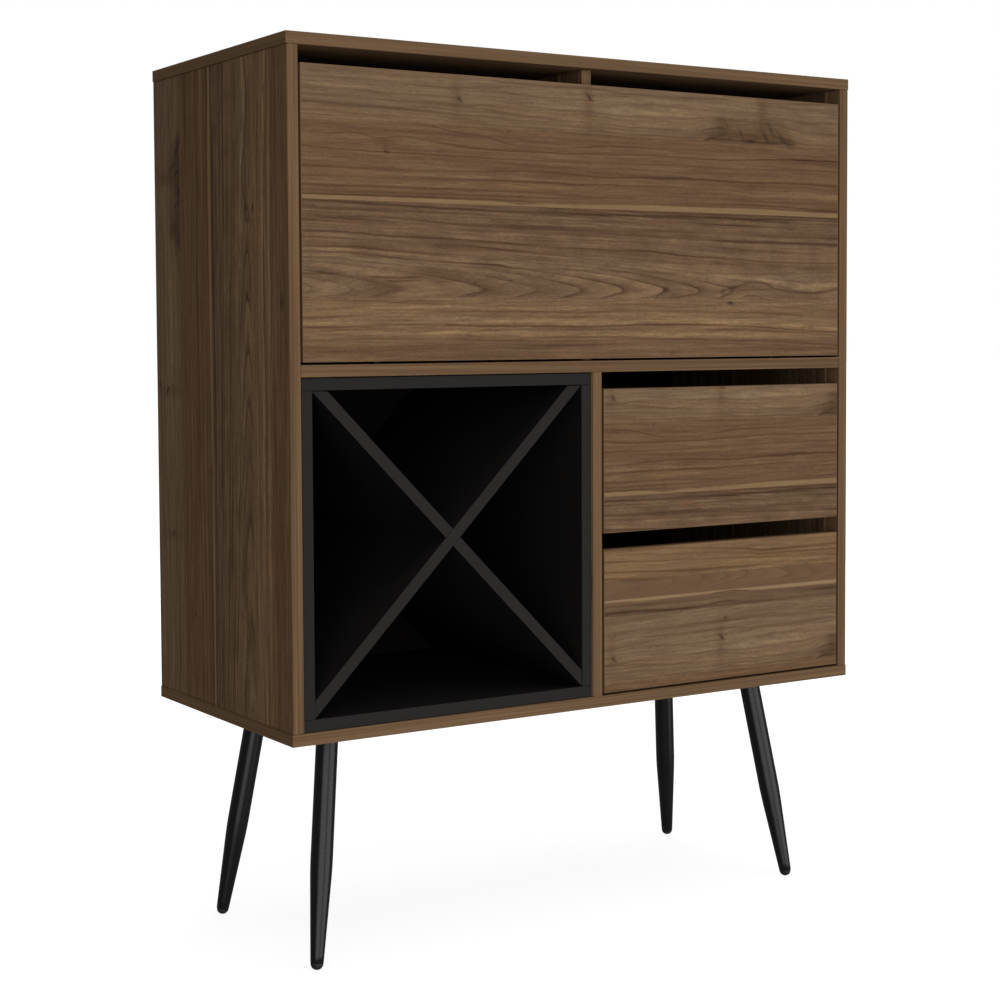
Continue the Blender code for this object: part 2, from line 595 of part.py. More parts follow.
def build_leg(name, left, front):
    """Splayed tapered leg with its plate and its domed foot."""
    def corner(inset, up):
        across = inset if left else BODY_WIDTH - inset
        back = inset if front else BODY_DEPTH - inset
        return place(across, back, up)

    top = corner(LEG_TOP_INSET, 0.0)
    foot = corner(LEG_FOOT_INSET, -LEG_HEIGHT)
    axis = (foot - top).normalized()
    length = (foot - top).length
    first = axis.cross(Vector((0.0, 1.0, 0.0))).normalized()
    second = axis.cross(first).normalized()

    plate_low = -SEAT_GAP - LEG_PLATE
    half = LEG_PLATE_SIZE / 2
    outline = []
    for sx, sy, start in ((1, 1, 0.0), (-1, 1, 90.0), (-1, -1, 180.0), (1, -1, 270.0)):
        for i in range(CORNER_SEGMENTS + 1):
            turn = math.radians(start + 90.0 * i / CORNER_SEGMENTS)
            outline.append((top.x + BODY_WIDTH / 2 + sx * (half - LEG_PLATE_CORNER) + LEG_PLATE_CORNER * math.cos(turn),
                            top.y + BODY_DEPTH / 2 + sy * (half - LEG_PLATE_CORNER)
                            + LEG_PLATE_CORNER * math.sin(turn)))
    prism(name + "_leg_plate", outline, "Z", (plate_low, -SEAT_GAP), "leg_plate_steel")

    # Tube, cut level under the plate
    level = LEG_HEIGHT + plate_low - SEAT_GAP
    rings = []
    start = ring(top, first, second, LEG_RADIUS, ROUND_SEGMENTS)
    rings.append([point + axis * ((level - point.z) / axis.z) for point in start])
    sphere_rise = math.sqrt(LEG_END_RADIUS ** 2 - FOOT_FLAT_RADIUS ** 2)
    centre = foot - axis * (sphere_rise / abs(axis.z))
    end_share = (centre - top).length / length
    taper = (LEG_RADIUS - LEG_END_RADIUS) / (end_share - LEG_KNEE_SHARE)
    for step in (-2, -1, 0, 1, 2):
        share = LEG_KNEE_SHARE + LEG_KNEE_BLEND_SHARE * step / 2
        over = (step + 2) / 4
        radius = LEG_RADIUS - taper * LEG_KNEE_BLEND_SHARE * over * over
        rings.append(ring(top + axis * (length * share), first, second, radius, ROUND_SEGMENTS))
    rings.append(ring(centre - axis * SEAT_GAP, first, second, LEG_END_RADIUS, ROUND_SEGMENTS))
    loft(name + "_leg_tube", rings, "leg_black", None, math.radians(30.0))

    # Foot: a dome that stands on a small flat
    rings = [ring(centre, first, second, LEG_END_RADIUS, ROUND_SEGMENTS)]
    flat_angle = math.asin(FOOT_FLAT_RADIUS / LEG_END_RADIUS)
    flat_first = Vector((first.x, first.y, 0.0)).normalized()
    flat_second = Vector((second.x, second.y, 0.0))
    flat_second = (flat_second - flat_first * flat_second.dot(flat_first)).normalized()
    steps = 5
    for k in range(steps):
        polar = math.radians(64.0) + (flat_angle - math.radians(64.0)) * k / (steps - 1)
        middle = centre - Vector((0.0, 0.0, LEG_END_RADIUS * math.cos(polar)))
        rings.append(ring(middle, flat_first, flat_second, LEG_END_RADIUS * math.sin(polar), ROUND_SEGMENTS))
    loft(name + "_leg_foot", rings, "foot_plastic", None, math.radians(50.0))


def build():
    """Build every piece of the cabinet."""
    clear_scene()
    build_carcass()
    build_rack()
    build_flap()
    for side in ("left", "right"):
        build_hinge(side)
        build_stay(side)
        build_catch(side)
    build_drawer("upper_drawer", UPPER_FRONT_UP)
    build_drawer("lower_drawer", LOWER_FRONT_UP)
    for front in (True, False):
        for left in (True, False):
            build_leg(("front_" if front else "back_") + ("left" if left else "right"), left, front)


build()
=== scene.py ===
"""Looks of a walnut-faced wine cabinet on splayed black legs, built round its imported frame.

Lengths are in metres unless a name says millimetres. The front looks along -Y and +Z is up.
"""

import logging
import math
from abc import ABC, abstractmethod
from dataclasses import dataclass
from enum import Enum, IntEnum
from typing import Callable, ClassVar, Iterable, Sequence

import bmesh
import bpy
from mathutils import Matrix, Vector


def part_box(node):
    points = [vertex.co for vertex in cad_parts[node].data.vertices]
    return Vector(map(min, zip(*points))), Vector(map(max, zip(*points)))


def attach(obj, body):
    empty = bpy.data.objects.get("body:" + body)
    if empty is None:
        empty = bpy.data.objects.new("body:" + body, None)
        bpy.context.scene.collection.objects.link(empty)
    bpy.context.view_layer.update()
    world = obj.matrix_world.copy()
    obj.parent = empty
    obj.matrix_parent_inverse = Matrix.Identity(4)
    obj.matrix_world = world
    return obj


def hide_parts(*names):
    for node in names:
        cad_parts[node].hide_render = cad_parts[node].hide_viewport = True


LOG = logging.getLogger("wine_cabinet")
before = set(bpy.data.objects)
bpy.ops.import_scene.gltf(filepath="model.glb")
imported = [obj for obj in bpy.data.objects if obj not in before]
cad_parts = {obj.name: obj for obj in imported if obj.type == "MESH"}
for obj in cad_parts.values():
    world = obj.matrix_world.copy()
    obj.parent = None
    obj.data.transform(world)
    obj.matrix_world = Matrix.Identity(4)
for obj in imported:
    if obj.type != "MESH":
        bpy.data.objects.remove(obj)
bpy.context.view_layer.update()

Colour = tuple[float, float, float]
Point = tuple[float, float, float]
Pair = tuple[float, float]

MM = 0.001
SHEET_MAP = "decor"


def srgb(red: int, green: int, blue: int) -> Colour:
    """Linear colour of a display colour whose channels run from 0 to 255."""
    channels = [value / 255.0 for value in (red, green, blue)]
    return tuple(c / 12.92 if c <= 0.04045 else ((c + 0.055) / 1.055) ** 2.4 for c in channels)


# Node trees


@dataclass(frozen=True)
class Layer:
    """One layer of noise on the sheet, with its lengths in millimetres.

    Its tone is its strength where layers are summed.
    """

    along: float
    across: float
    seed: float
    detail: float = 2.0
    roughness: float = 0.5
    tone: float = 1.0


class Field:
    """A value that a node tree works out at each point, with arithmetic."""

    def __init__(self, graph: "Graph", socket: bpy.types.NodeSocket) -> None:
        """Keep the tree and the socket that gives the value."""
        self.graph = graph
        self.socket = socket

    def __add__(self, other: "Field | float") -> "Field":
        """Sum."""
        return self.graph.math("ADD", self, other)

    def __radd__(self, other: float) -> "Field":
        """Sum with a number on the left."""
        return self.graph.math("ADD", other, self)

    def __sub__(self, other: "Field | float") -> "Field":
        """Difference."""
        return self.graph.math("SUBTRACT", self, other)

    def __rsub__(self, other: float) -> "Field":
        """Difference from a number."""
        return self.graph.math("SUBTRACT", other, self)

    def __mul__(self, other: "Field | float") -> "Field":
        """Product."""
        return self.graph.math("MULTIPLY", self, other)

    def __truediv__(self, other: "Field | float") -> "Field":
        """Quotient."""
        return self.graph.math("DIVIDE", self, other)


class Graph:
    """A node tree being written, with short calls for the nodes that it needs."""

    def __init__(self, tree: bpy.types.NodeTree) -> None:
        """Keep the tree."""
        self.tree = tree

    def add(self, kind: str, inputs: "dict[str | int, Fed] | None" = None,
            **settings: object) -> bpy.types.Node:
        """Add a node.

        Args:
            kind: the node's type name.
            inputs: values or links of its inputs, by name or index.
            **settings: the node's own properties.

        Returns:
            The node.
        """
        node = self.tree.nodes.new(kind)
        for key, value in settings.items():
            setattr(node, key, value)
        for key, value in (inputs or {}).items():
            self.feed(node.inputs[key], value)
        return node

    def feed(self, socket: bpy.types.NodeSocket, value: "Fed") -> None:
        """Link a field or a socket to an input, or set the input's own value.

        Args:
            socket: the input.
            value: what it gets.
        """
        if isinstance(value, Field):
            self.tree.links.new(value.socket, socket)
        elif isinstance(value, bpy.types.NodeSocket):
            self.tree.links.new(value, socket)
        else:
            socket.default_value = value

    def math(self, operation: str, *values: "Field | float") -> Field:
        """One step of arithmetic on up to three values."""
        node = self.add("ShaderNodeMath", dict(enumerate(values)), operation=operation)
        return Field(self, node.outputs[0])

    def vector(self, x: "Field | float", y: "Field | float", z: "Field | float" = 0.0) -> Field:
        """Vector of three values."""
        return Field(self, self.add("ShaderNodeCombineXYZ", {0: x, 1: y, 2: z}).outputs[0])

    def split(self, vector: Field) -> list[Field]:
        """The three values of a vector."""
        return [Field(self, out) for out in self.add("ShaderNodeSeparateXYZ", {0: vector}).outputs]

    def sheet(self) -> tuple[Field, Field]:
        """Read a point's place on the printed sheet.

        Returns:
            Its distances along and across the sheet in millimetres.
        """
        place = Field(self, self.add("ShaderNodeUVMap", uv_map=SHEET_MAP).outputs["UV"])
        along, across, _ = self.split(place)
        return along / MM, across / MM

    def object_point(self) -> Field:
        """The point's own place on the piece."""
        return Field(self, self.add("ShaderNodeTexCoord").outputs["Object"])

    def noise(self, vector: Field, scale: float = 1.0, detail: float = 2.0, roughness: float = 0.5) -> Field:
        """Smooth noise from about -1 to 1, with so many cells per unit and finer layers of this strength."""
        node = self.add("ShaderNodeTexNoise",
                        {"Vector": vector, "Scale": scale, "Detail": detail, "Roughness": roughness})
        return self.math("MULTIPLY_ADD", Field(self, node.outputs[0]), 2.0, -1.0)

    def layer(self, s: Field, t: Field, layer: Layer) -> Field:
        """Noise of one layer at a place on the sheet, in millimetres."""
        place = self.vector(s / layer.along, t / layer.across, layer.seed)
        return self.noise(place, detail=layer.detail, roughness=layer.roughness)

    def step(self, value: Field, low: float, high: float, start: float = 0.0, end: float = 1.0) -> Field:
        """Smooth change from start to end while a value goes from low to high."""
        node = self.add("ShaderNodeMapRange", {0: value, 1: low, 2: high, 3: start, 4: end},
                        interpolation_type="SMOOTHSTEP")
        return Field(self, node.outputs[0])

    def window(self, value: Field, low: float, high: float, soft: float) -> Field:
        """One between low and high, and zero outside, with soft edges."""
        rise = self.step(value, low - soft, low + soft)
        return rise * self.step(value, high - soft, high + soft, 1.0, 0.0)

    def mix(self, share: "Field | float", first: "Field | Colour", second: "Field | Colour",
            blend: str = "MIX") -> Field:
        """Colour made of two colours.

        Args:
            share: share of the second colour.
            first: the first colour.
            second: the second colour.
            blend: how the second one is laid over the first.

        Returns:
            The colour.
        """
        first, second = (c if isinstance(c, Field) else (*c, 1.0) for c in (first, second))
        node = self.add("ShaderNodeMix", {0: share, 6: first, 7: second}, data_type="RGBA", blend_type=blend)
        return Field(self, node.outputs[2])

    def multiply(self, first: "Field | Colour", second: Field) -> Field:
        """Product of two colours."""
        return self.mix(1.0, first, second, "MULTIPLY")

    def scale_colour(self, colour: "Field | Colour", value: Field) -> Field:
        """Colour made lighter or darker by a value."""
        grey = self.add("ShaderNodeCombineColor", {0: value, 1: value, 2: value}).outputs[0]
        return self.multiply(colour, Field(self, grey))

    def zero(self) -> Field:
        """Zero that a sum starts with."""
        return self.math("ADD", 0.0, 0.0)

    def bell(self, square: Field) -> Field:
        """Bell curve of a squared distance."""
        return self.math("POWER", math.exp(-1.0), square)

    def tone_factor(self, tone: Field) -> Field:
        """Factor on a colour for a tone, so that equal steps of tone look even."""
        return self.math("POWER", math.e, tone)

    def tone_colour(self, tone: Field, lighter: Colour, darker: Colour) -> Field:
        """Factor on a colour for a tone.

        Args:
            tone: the tone, above zero for lighter wood and below it for darker wood.
            lighter: strength of light tones in each channel.
            darker: strength of dark tones in each channel.

        Returns:
            The factor as a colour.
        """
        above = self.math("MAXIMUM", tone, 0.0)
        below = self.math("MINIMUM", tone, 0.0)
        strengths = enumerate(zip(lighter, darker))
        parts = {i: self.tone_factor(above * up + below * down) for i, (up, down) in strengths}
        return Field(self, self.add("ShaderNodeCombineColor", parts).outputs[0])

    def curve(self, share: Field, points: Sequence[Pair], straight: bool = False) -> Field:
        """Curve through points.

        Args:
            share: place along the curve, from 0 to 1.
            points: places and values from 0 to 1, in rising order of place.
            straight: whether straight lines join the points.

        Returns:
            The value.
        """
        node = self.add("ShaderNodeFloatCurve", {"Value": share})
        line = node.mapping.curves[0]
        while len(line.points) < len(points):
            line.points.new(0.5, 0.5)
        for point, (place, value) in zip(line.points, points):
            point.location = (place, value)
            point.handle_type = "VECTOR" if straight else "AUTO_CLAMPED"
        node.mapping.extend = "HORIZONTAL"
        node.mapping.update()
        return Field(self, node.outputs[0])

    def ramp(self, share: Field, stops: Sequence[tuple[float, Colour]]) -> Field:
        """Colour looked up along a row of stops, each of which holds up to the next.

        Args:
            share: place along the row, from 0 to 1.
            stops: places and colours, in rising order.

        Returns:
            The colour.
        """
        node = self.add("ShaderNodeValToRGB", {0: share})
        ramp = node.color_ramp
        ramp.interpolation = "CONSTANT"
        while len(ramp.elements) < len(stops):
            ramp.elements.new(1.0)
        for element, (place, colour) in zip(ramp.elements, stops):
            element.position = place
            element.color = (*colour, 1.0)
        return Field(self, node.outputs[0])


Fed = Field | bpy.types.NodeSocket | float | Sequence[float]


# Finishes


class Coat(Graph):
    """The node tree of a material, with its shader."""

    def __init__(self, material: bpy.types.Material) -> None:
        """Keep the material's tree and shader."""
        super().__init__(material.node_tree)
        self.shader = material.node_tree.nodes["Principled BSDF"]

    def cover(self, colour: Fed, roughness: Fed, specular: float = 0.5) -> None:
        """Give the shader its colour, roughness and sheen.

        Args:
            colour: the colour.
            roughness: the roughness.
            specular: strength of the sheen.
        """
        self.feed(self.shader.inputs["Base Color"], colour)
        self.feed(self.shader.inputs["Roughness"], roughness)
        self.shader.inputs["Specular IOR Level"].default_value = specular

    def emboss(self, height: Field, depth: float, strength: float) -> None:
        """Give the surface relief of so many metres, of which a share shows."""
        bump = self.add("ShaderNodeBump", {"Height": height, "Distance": depth, "Strength": strength})
        self.feed(self.shader.inputs["Normal"], bump.outputs[0])


class Finish(ABC):
    """A finish that can be made into one shared material."""

    made: ClassVar[dict[str, bpy.types.Material]] = {}

    def material(self) -> bpy.types.Material:
        """Make the finish's material at its first use, and name it after its class.

        Returns:
            The material.
        """
        name = type(self).__name__
        if name not in self.made:
            words = "".join("_" + letter if letter.isupper() else letter for letter in name)
            material = bpy.data.materials.new(words.lower().strip("_"))
            material.use_nodes = True
            self.dress(Coat(material))
            self.made[name] = material
        return self.made[name]

    @abstractmethod
    def dress(self, graph: Coat) -> None:
        """Write the finish's nodes and link them to the shader.

        Args:
            graph: the material's nodes.
        """


@dataclass(frozen=True)
class Stave:
    """One stave of the walnut print, from its upper edge on, in millimetres across the sheet."""

    start: float
    colour: Colour
    figure: float
    waves: float


@dataclass(frozen=True)
class Vein:
    """A long dark or light line of the print.

    Its points are (along, across, depth), in millimetres and in hundredths of the tone.
    """

    half: float
    points: tuple[Point, ...]
    light: bool = False


@dataclass(frozen=True)
class Mark:
    """A dark spot of the print: middle, half length and half width in millimetres, turn in degrees, depth."""

    along: float
    across: float
    length: float
    width: float
    turn: float
    depth: float


@dataclass(frozen=True)
class Flame:
    """Pointed growth arcs of one stave, open to the left, in millimetres on the sheet.

    Each apex is (along, depth). Its curve bends the arcs back and its reach draws out their tips.
    """

    top: float
    foot: float
    axis: tuple[Pair, ...]
    apexes: tuple[Pair, ...]
    curve: float
    reach: float


WALNUT_STAVES = (
    Stave(-140, srgb(121, 94, 67), 0.75, 0.5),
    Stave(-76, srgb(107, 82, 60), 0.30, 0.6),
    Stave(-48.9, srgb(102, 80, 60), 0.80, 0.7),
    Stave(-27, srgb(113, 91, 69), 0.80, 1),
    Stave(37, srgb(113, 90, 67), 0.80, 1),
    Stave(63.3, srgb(106, 81, 58), 0.80, 0.5),
    Stave(161.6, srgb(100, 78, 58), 1.15, 0.5),
    Stave(188, srgb(104, 81, 60), 1.05, 0.5),
    Stave(230, srgb(110, 87, 65), 1, 0.5),
    Stave(278.2, srgb(118, 92, 67), 1, 0.4),
    Stave(332, srgb(107, 82, 60), 0.9, 0.4),
    Stave(356.5, srgb(103, 79, 57), 0.9, 0.6),
)

WALNUT_VEINS = (
    # Golden stave at the upper edge
    Vein(1.2, ((200, -102, 24), (260, -98.5, 22), (346, -95.7, 26), (432, -93.3, 20), (540, -88.6, 14),
         (660, -86, 16))),
    Vein(1.4, ((200, -87.3, 34), (260, -84.5, 30), (346, -81.3, 34), (410, -79.8, 22), (470, -79, 26),
         (540, -79, 4), (660, -78, 0))),
    Vein(1.5, ((280, -116.5, 12), (346, -111.7, 16), (411, -108, 18), (476, -103.5, 30), (510, -100.3, 42),
         (600, -101, 28), (660, -101.6, 30))),
    Vein(1.3, ((200, -113, 0), (280, -107.6, 12), (346, -103.8, 12), (454, -100.3, 14), (500, -95.5, 26),
         (570, -94.4, 26), (660, -93.4, 24))),
    Vein(2.0, ((200, -77.8, 26), (240, -75.3, 24), (290, -73.4, 18), (340, -73, 0), (860, -73, 0))),
    Vein(2.4, ((200, -104, 2), (500, -86.5, 12), (560, -84.6, 16), (660, -83, 14)), light=True),
    # Dark lines at the head of the pale stave
    Vein(1.6, ((200, -31, 44), (260, -31.4, 42), (303, -29.6, 46), (360, -29, 42), (411, -31.4, 30),
         (434, -33, 34), (455, -31, 24), (480, -29.4, 14), (660, -28.8, 12), (860, -29, 10))),
    Vein(2.6, ((200, -39.5, 10), (280, -38.3, 20), (320, -38, 16), (360, -37, 4), (580, -37.5, 8),
         (650, -37.2, 26), (860, -37, 20))),
    Vein(1.4, ((0, -7, 10), (300, -7, 5), (440, -6, 14), (600, -5.5, 16), (700, -6, 6), (864, -8, 10))),
    # Pale stave
    Vein(1.1, ((0, 37, 14), (120, 38.3, 16), (230, 40, 16), (300, 44, 18), (340, 47, 14), (432, 50, 14),
         (560, 52, 18), (600, 51, 14), (650, 44, 10), (700, 40, 0), (864, 40, 0))),
    Vein(1.5, ((0, 45, 24), (60, 46, 26), (150, 47.5, 26), (220, 50, 24), (290, 51, 18), (340, 54, 10),
         (432, 55, 12), (540, 55.5, 14), (600, 55, 10), (864, 55, 0))),
    Vein(1.2, ((0, 2, 0), (250, 3, 0), (290, 4.5, 20), (360, 6, 24), (432, 5.2, 22), (480, 8, 18),
         (560, 8.2, 18), (620, 6, 20), (680, 4, 8), (720, 6, 22), (770, 5, 24), (820, 2.5, 20),
         (864, 1, 10))),
    Vein(1.1, ((0, 15, 12), (100, 15, 14), (180, 17, 15), (250, 16, 8), (300, 19, 14), (350, 21, 17),
         (418, 20, 16), (470, 22, 0), (864, 22, 0))),
    Vein(4.2, ((0, 22, 13), (120, 22, 15), (215, 23, 10), (240, 24, 12), (290, 24, 2),
         (864, 24, 0)), light=True),
    Vein(8.0, ((0, 15, 0), (300, 16, 2), (345, 15, 13), (400, 17, 12), (450, 25, 11), (520, 28, 15),
         (590, 26, 13), (660, 15, 10), (700, 14, 10), (730, 16, 0), (770, 20, 6), (864, 20, 5)), light=True),
    Vein(1.0, ((0, 28, 8), (280, 29, 12), (320, 33, 16), (432, 36, 12), (500, 38, 14), (580, 36, 12),
         (640, 28, 5), (864, 30, 10))),
    Vein(1.0, ((0, 55, 12), (200, 58, 12), (320, 61, 16), (432, 60, 14), (560, 61, 14), (864, 60, 10))),
    Vein(1.3, ((0, 50, 0), (760, 30, 0), (800, 32, 18), (830, 33, 16), (864, 34, 10))),
    # Brown stave
    Vein(0.9, ((0, 63, 0), (150, 64, 6), (190, 67, 22), (212, 71, 22), (262, 75, 18), (280, 79, 24),
         (302, 83, 20), (340, 84.5, 10), (400, 83, 12), (440, 79, 26), (500, 78, 24), (570, 80, 12),
         (640, 81, 8), (864, 79, 4))),
    Vein(0.9, ((0, 85, 16), (35, 85.3, 20), (46, 81, 22), (66, 79.4, 24), (84, 80, 24), (98, 84, 18),
         (112, 85, 16), (128, 81.6, 24), (145, 81, 22), (165, 83, 18), (210, 88, 30), (255, 91, 32),
         (320, 92, 30), (400, 90.5, 30), (470, 89, 26), (520, 87, 20), (600, 88.4, 24), (680, 87.3, 30),
         (740, 84.4, 40), (790, 82.3, 50), (864, 82, 44))),
    Vein(5.0, ((0, 90, 12), (90, 89, 12), (115, 92, 3), (150, 88, 9), (210, 95, 0),
         (864, 95, 0)), light=True),
    Vein(0.9, ((0, 98, 22), (25, 99.7, 26), (117, 101, 30), (200, 101.5, 28), (330, 103, 24), (432, 101, 12),
         (600, 99, 18), (680, 100, 10), (760, 97, 20), (864, 96, 16))),
    Vein(3.2, ((0, 88, 0), (730, 88, 2), (790, 86, 24), (864, 86, 20))),
    Vein(1.2, ((0, 122, 16), (130, 122.5, 16), (230, 121, 16), (300, 117, 26), (360, 116.3, 28),
         (410, 118, 18), (440, 120, 26), (500, 118.5, 30), (560, 117, 34), (620, 116.6, 34), (700, 117, 36),
         (770, 115.8, 38), (864, 116.5, 34))),
    Vein(0.9, ((0, 133, 12), (200, 133, 10), (280, 129.4, 22), (360, 130, 26), (440, 129.5, 24),
         (530, 128.8, 22), (600, 127, 4), (864, 127, 8))),
    Vein(1.8, ((0, 127.5, 10), (200, 127, 13), (432, 126.7, 16), (560, 126.5, 10), (700, 125, 4),
         (864, 130, 6)), light=True),
    Vein(1.3, ((0, 145, 16), (140, 143.6, 20), (300, 143.5, 22), (400, 145, 18), (450, 146, 14),
         (560, 140, 12), (700, 142, 10), (864, 144, 12))),
    Vein(1.0, ((0, 151, 10), (300, 149.8, 16), (520, 150, 12), (640, 149, 26), (700, 148.4, 30),
         (770, 149.2, 34), (810, 151, 36), (864, 152.6, 34))),
    Vein(0.9, ((0, 155.4, 34), (200, 154.4, 30), (290, 154.2, 20), (330, 154, 10), (480, 152.8, 20),
         (640, 151.8, 10), (864, 154, 20))),
    Vein(3.0, ((0, 139, 6), (300, 135, 12), (432, 134, 10), (520, 136, 4), (780, 133, 10),
         (864, 134, 10)), light=True),
    # Dark stave above the arcs
    Vein(1.5, ((0, 162.6, 22), (70, 163.8, 34), (110, 166, 36), (180, 167.2, 36), (280, 169, 38),
         (350, 170, 42), (432, 169.6, 46), (480, 168.4, 44), (640, 167.4, 46), (700, 168, 40),
         (760, 166.5, 40), (864, 167, 44))),
    Vein(1.4, ((0, 162, 10), (380, 163.4, 10), (520, 163, 26), (600, 163.6, 28), (780, 163, 30),
         (864, 163.5, 30))),
    Vein(1.2, ((0, 171.5, 16), (300, 175, 10), (432, 178, 20), (560, 177, 12), (690, 177, 28), (740, 177, 6),
         (864, 178, 12))),
    Vein(2.6, ((0, 186, 26), (60, 185, 22), (130, 187, 12), (260, 188, 20), (340, 189, 30), (420, 189.5, 22),
         (480, 189.5, 20), (570, 188, 28), (660, 189, 20), (780, 190.5, 34), (864, 190.5, 32))),
    Vein(1.6, ((0, 194, 6), (300, 194, 16), (470, 194.5, 18), (600, 196.5, 24), (660, 198.6, 40),
         (760, 199.4, 42), (864, 200.3, 38))),
    Vein(1.6, ((0, 196, 5), (330, 198, 12), (432, 199.6, 18), (520, 199.6, 12), (700, 195.4, 12),
         (864, 196, 14)), light=True),
    Vein(1.1, ((0, 200, 34), (60, 200, 30), (110, 203, 36), (170, 204.6, 36), (220, 206, 36),
         (280, 208.2, 36), (320, 211, 30), (370, 213, 28), (432, 214.3, 34), (470, 215.6, 34),
         (520, 215.2, 30), (550, 217.6, 36), (590, 220.6, 38), (640, 222, 34), (680, 223.6, 30),
         (720, 226.6, 28), (770, 227.3, 22), (864, 226.5, 24))),
    Vein(1.0, ((0, 207, 12), (200, 211, 14), (240, 213.6, 28), (280, 216.8, 34), (300, 218.6, 36),
         (340, 221, 34), (380, 223.4, 32), (410, 227, 26), (470, 229, 18), (500, 231.4, 26), (530, 235, 18),
         (580, 240, 12), (640, 243.6, 10), (864, 240, 16))),
    Vein(1.2, ((0, 218, 26), (60, 218, 28), (110, 220.6, 26), (150, 223, 20), (220, 225.6, 12), (300, 229, 6),
         (864, 232, 0))),
    Vein(2.2, ((0, 221.6, 14), (60, 221.6, 18), (110, 224, 20), (170, 228.4, 18), (250, 231.6, 14),
         (330, 236, 12), (420, 239, 8), (480, 238, 6), (560, 239.5, 14), (620, 247, 16), (690, 249.5, 12),
         (760, 255, 10), (864, 258, 12)), light=True),
    Vein(2.6, ((0, 228, 20), (60, 228.6, 22), (110, 234, 22), (150, 237.6, 18), (200, 240.6, 14),
         (260, 244.6, 8), (864, 252, 0)), light=True),
    Vein(1.0, ((0, 224.6, 14), (60, 225, 16), (110, 228, 22), (150, 233, 20), (230, 235.6, 24),
         (260, 236.8, 42), (284, 237.8, 42), (304, 240.6, 26), (864, 245, 0))),
    Vein(0.9, ((0, 231.4, 22), (50, 231.6, 18), (80, 236.6, 10), (864, 240, 0))),
    Vein(1.0, ((0, 251.2, 34), (35, 250.8, 30), (54, 250, 20), (70, 249, 0), (864, 249, 0))),
    Vein(1.3, ((0, 253, 0), (84, 253, 6), (100, 254.4, 38), (130, 255, 46), (164, 254, 26), (190, 256, 6),
         (864, 256, 0))),
    Vein(1.1, ((0, 259, 0), (112, 259, 0), (124, 259.2, 42), (158, 257.8, 30), (180, 258.6, 6),
         (200, 259.4, 22), (225, 259.4, 0), (864, 259, 0))),
    Vein(1.5, ((0, 262, 0), (640, 270, 0), (652, 267, 34), (668, 263, 34), (684, 259.8, 30), (694, 256.4, 28),
         (706, 255, 22), (724, 256.4, 24), (738, 261, 34), (752, 264.6, 32), (776, 267.6, 34),
         (800, 269.4, 38), (836, 268.6, 34), (864, 265, 24))),
    Vein(5.0, ((0, 259, 0), (730, 258, 0), (752, 257.6, 12), (800, 260, 17), (840, 259, 14),
         (864, 256, 10)), light=True),
    Vein(1.2, ((0, 262, 0), (668, 265.6, 0), (690, 266.4, 16), (730, 265, 16), (752, 265, 0), (864, 265, 0))),
    Vein(8.0, ((0, 268, 10), (30, 267, 16), (62, 266, 20), (92, 268, 10), (112, 270, 0),
         (864, 268, 0)), light=True),
    Vein(9.0, ((0, 47, 2), (120, 45, 3), (300, 44, 5), (480, 46, 9), (590, 47, 8), (640, 46, 0),
         (864, 46, 0)), light=True),
    # Tan stave below the arcs
    Vein(2.2, ((0, 298, 8), (70, 294, 14), (140, 291.4, 16), (200, 291.4, 16), (280, 293, 16), (432, 293, 8),
         (560, 288, 8), (700, 289, 12), (864, 280, 12)), light=True),
    Vein(3.4, ((0, 311, 14), (60, 307.6, 16), (130, 303.4, 12), (210, 307, 16), (300, 307.8, 18),
         (432, 310, 20), (560, 308.4, 22), (640, 310, 24), (700, 312, 24), (760, 314.6, 20), (820, 318, 18),
         (864, 320.4, 20)), light=True),
    Vein(1.1, ((0, 316.4, 32), (40, 315.8, 28), (100, 313.6, 14), (140, 312.6, 26), (190, 313, 12),
         (212, 313.6, 40), (270, 314.4, 36), (345, 315.2, 40), (432, 315.6, 44), (500, 314, 40),
         (590, 313.6, 36), (650, 315.2, 34), (700, 316.5, 32), (760, 319.4, 38), (800, 321.8, 34),
         (864, 325, 34))),
    Vein(2.2, ((0, 327, 2), (100, 323.6, 10), (200, 323, 12), (330, 325.4, 12), (432, 326, 14),
         (560, 326, 16), (640, 327, 14), (720, 330, 10), (864, 335, 6)), light=True),
    Vein(1.2, ((0, 322, 20), (30, 321, 18), (80, 318, 0), (560, 322, 0), (680, 320.4, 20), (730, 322.6, 24),
         (800, 326, 18), (864, 330, 16))),
    Vein(1.4, ((0, 331.6, 16), (120, 330, 24), (180, 330, 16), (280, 333, 20), (330, 331, 14),
         (380, 329.6, 36), (470, 330.2, 34), (560, 332.4, 26), (660, 335, 26), (740, 337.4, 26),
         (800, 339.6, 26), (864, 343.6, 30))),
    Vein(1.0, ((0, 304, 14), (60, 302.6, 14), (130, 299, 6), (250, 296, 20), (310, 295.6, 24), (400, 298, 12),
         (470, 295, 12), (590, 296, 24), (650, 297.4, 20), (730, 298, 22), (800, 302, 26), (864, 303, 18))),
    Vein(0.9, ((0, 282, 10), (300, 289, 12), (500, 287.6, 20), (580, 290, 22), (640, 287, 10),
         (864, 292, 14))),
    Vein(1.1, ((0, 341, 10), (180, 340, 10), (260, 337, 16), (380, 340, 18), (560, 338, 10), (864, 349, 14))),
)

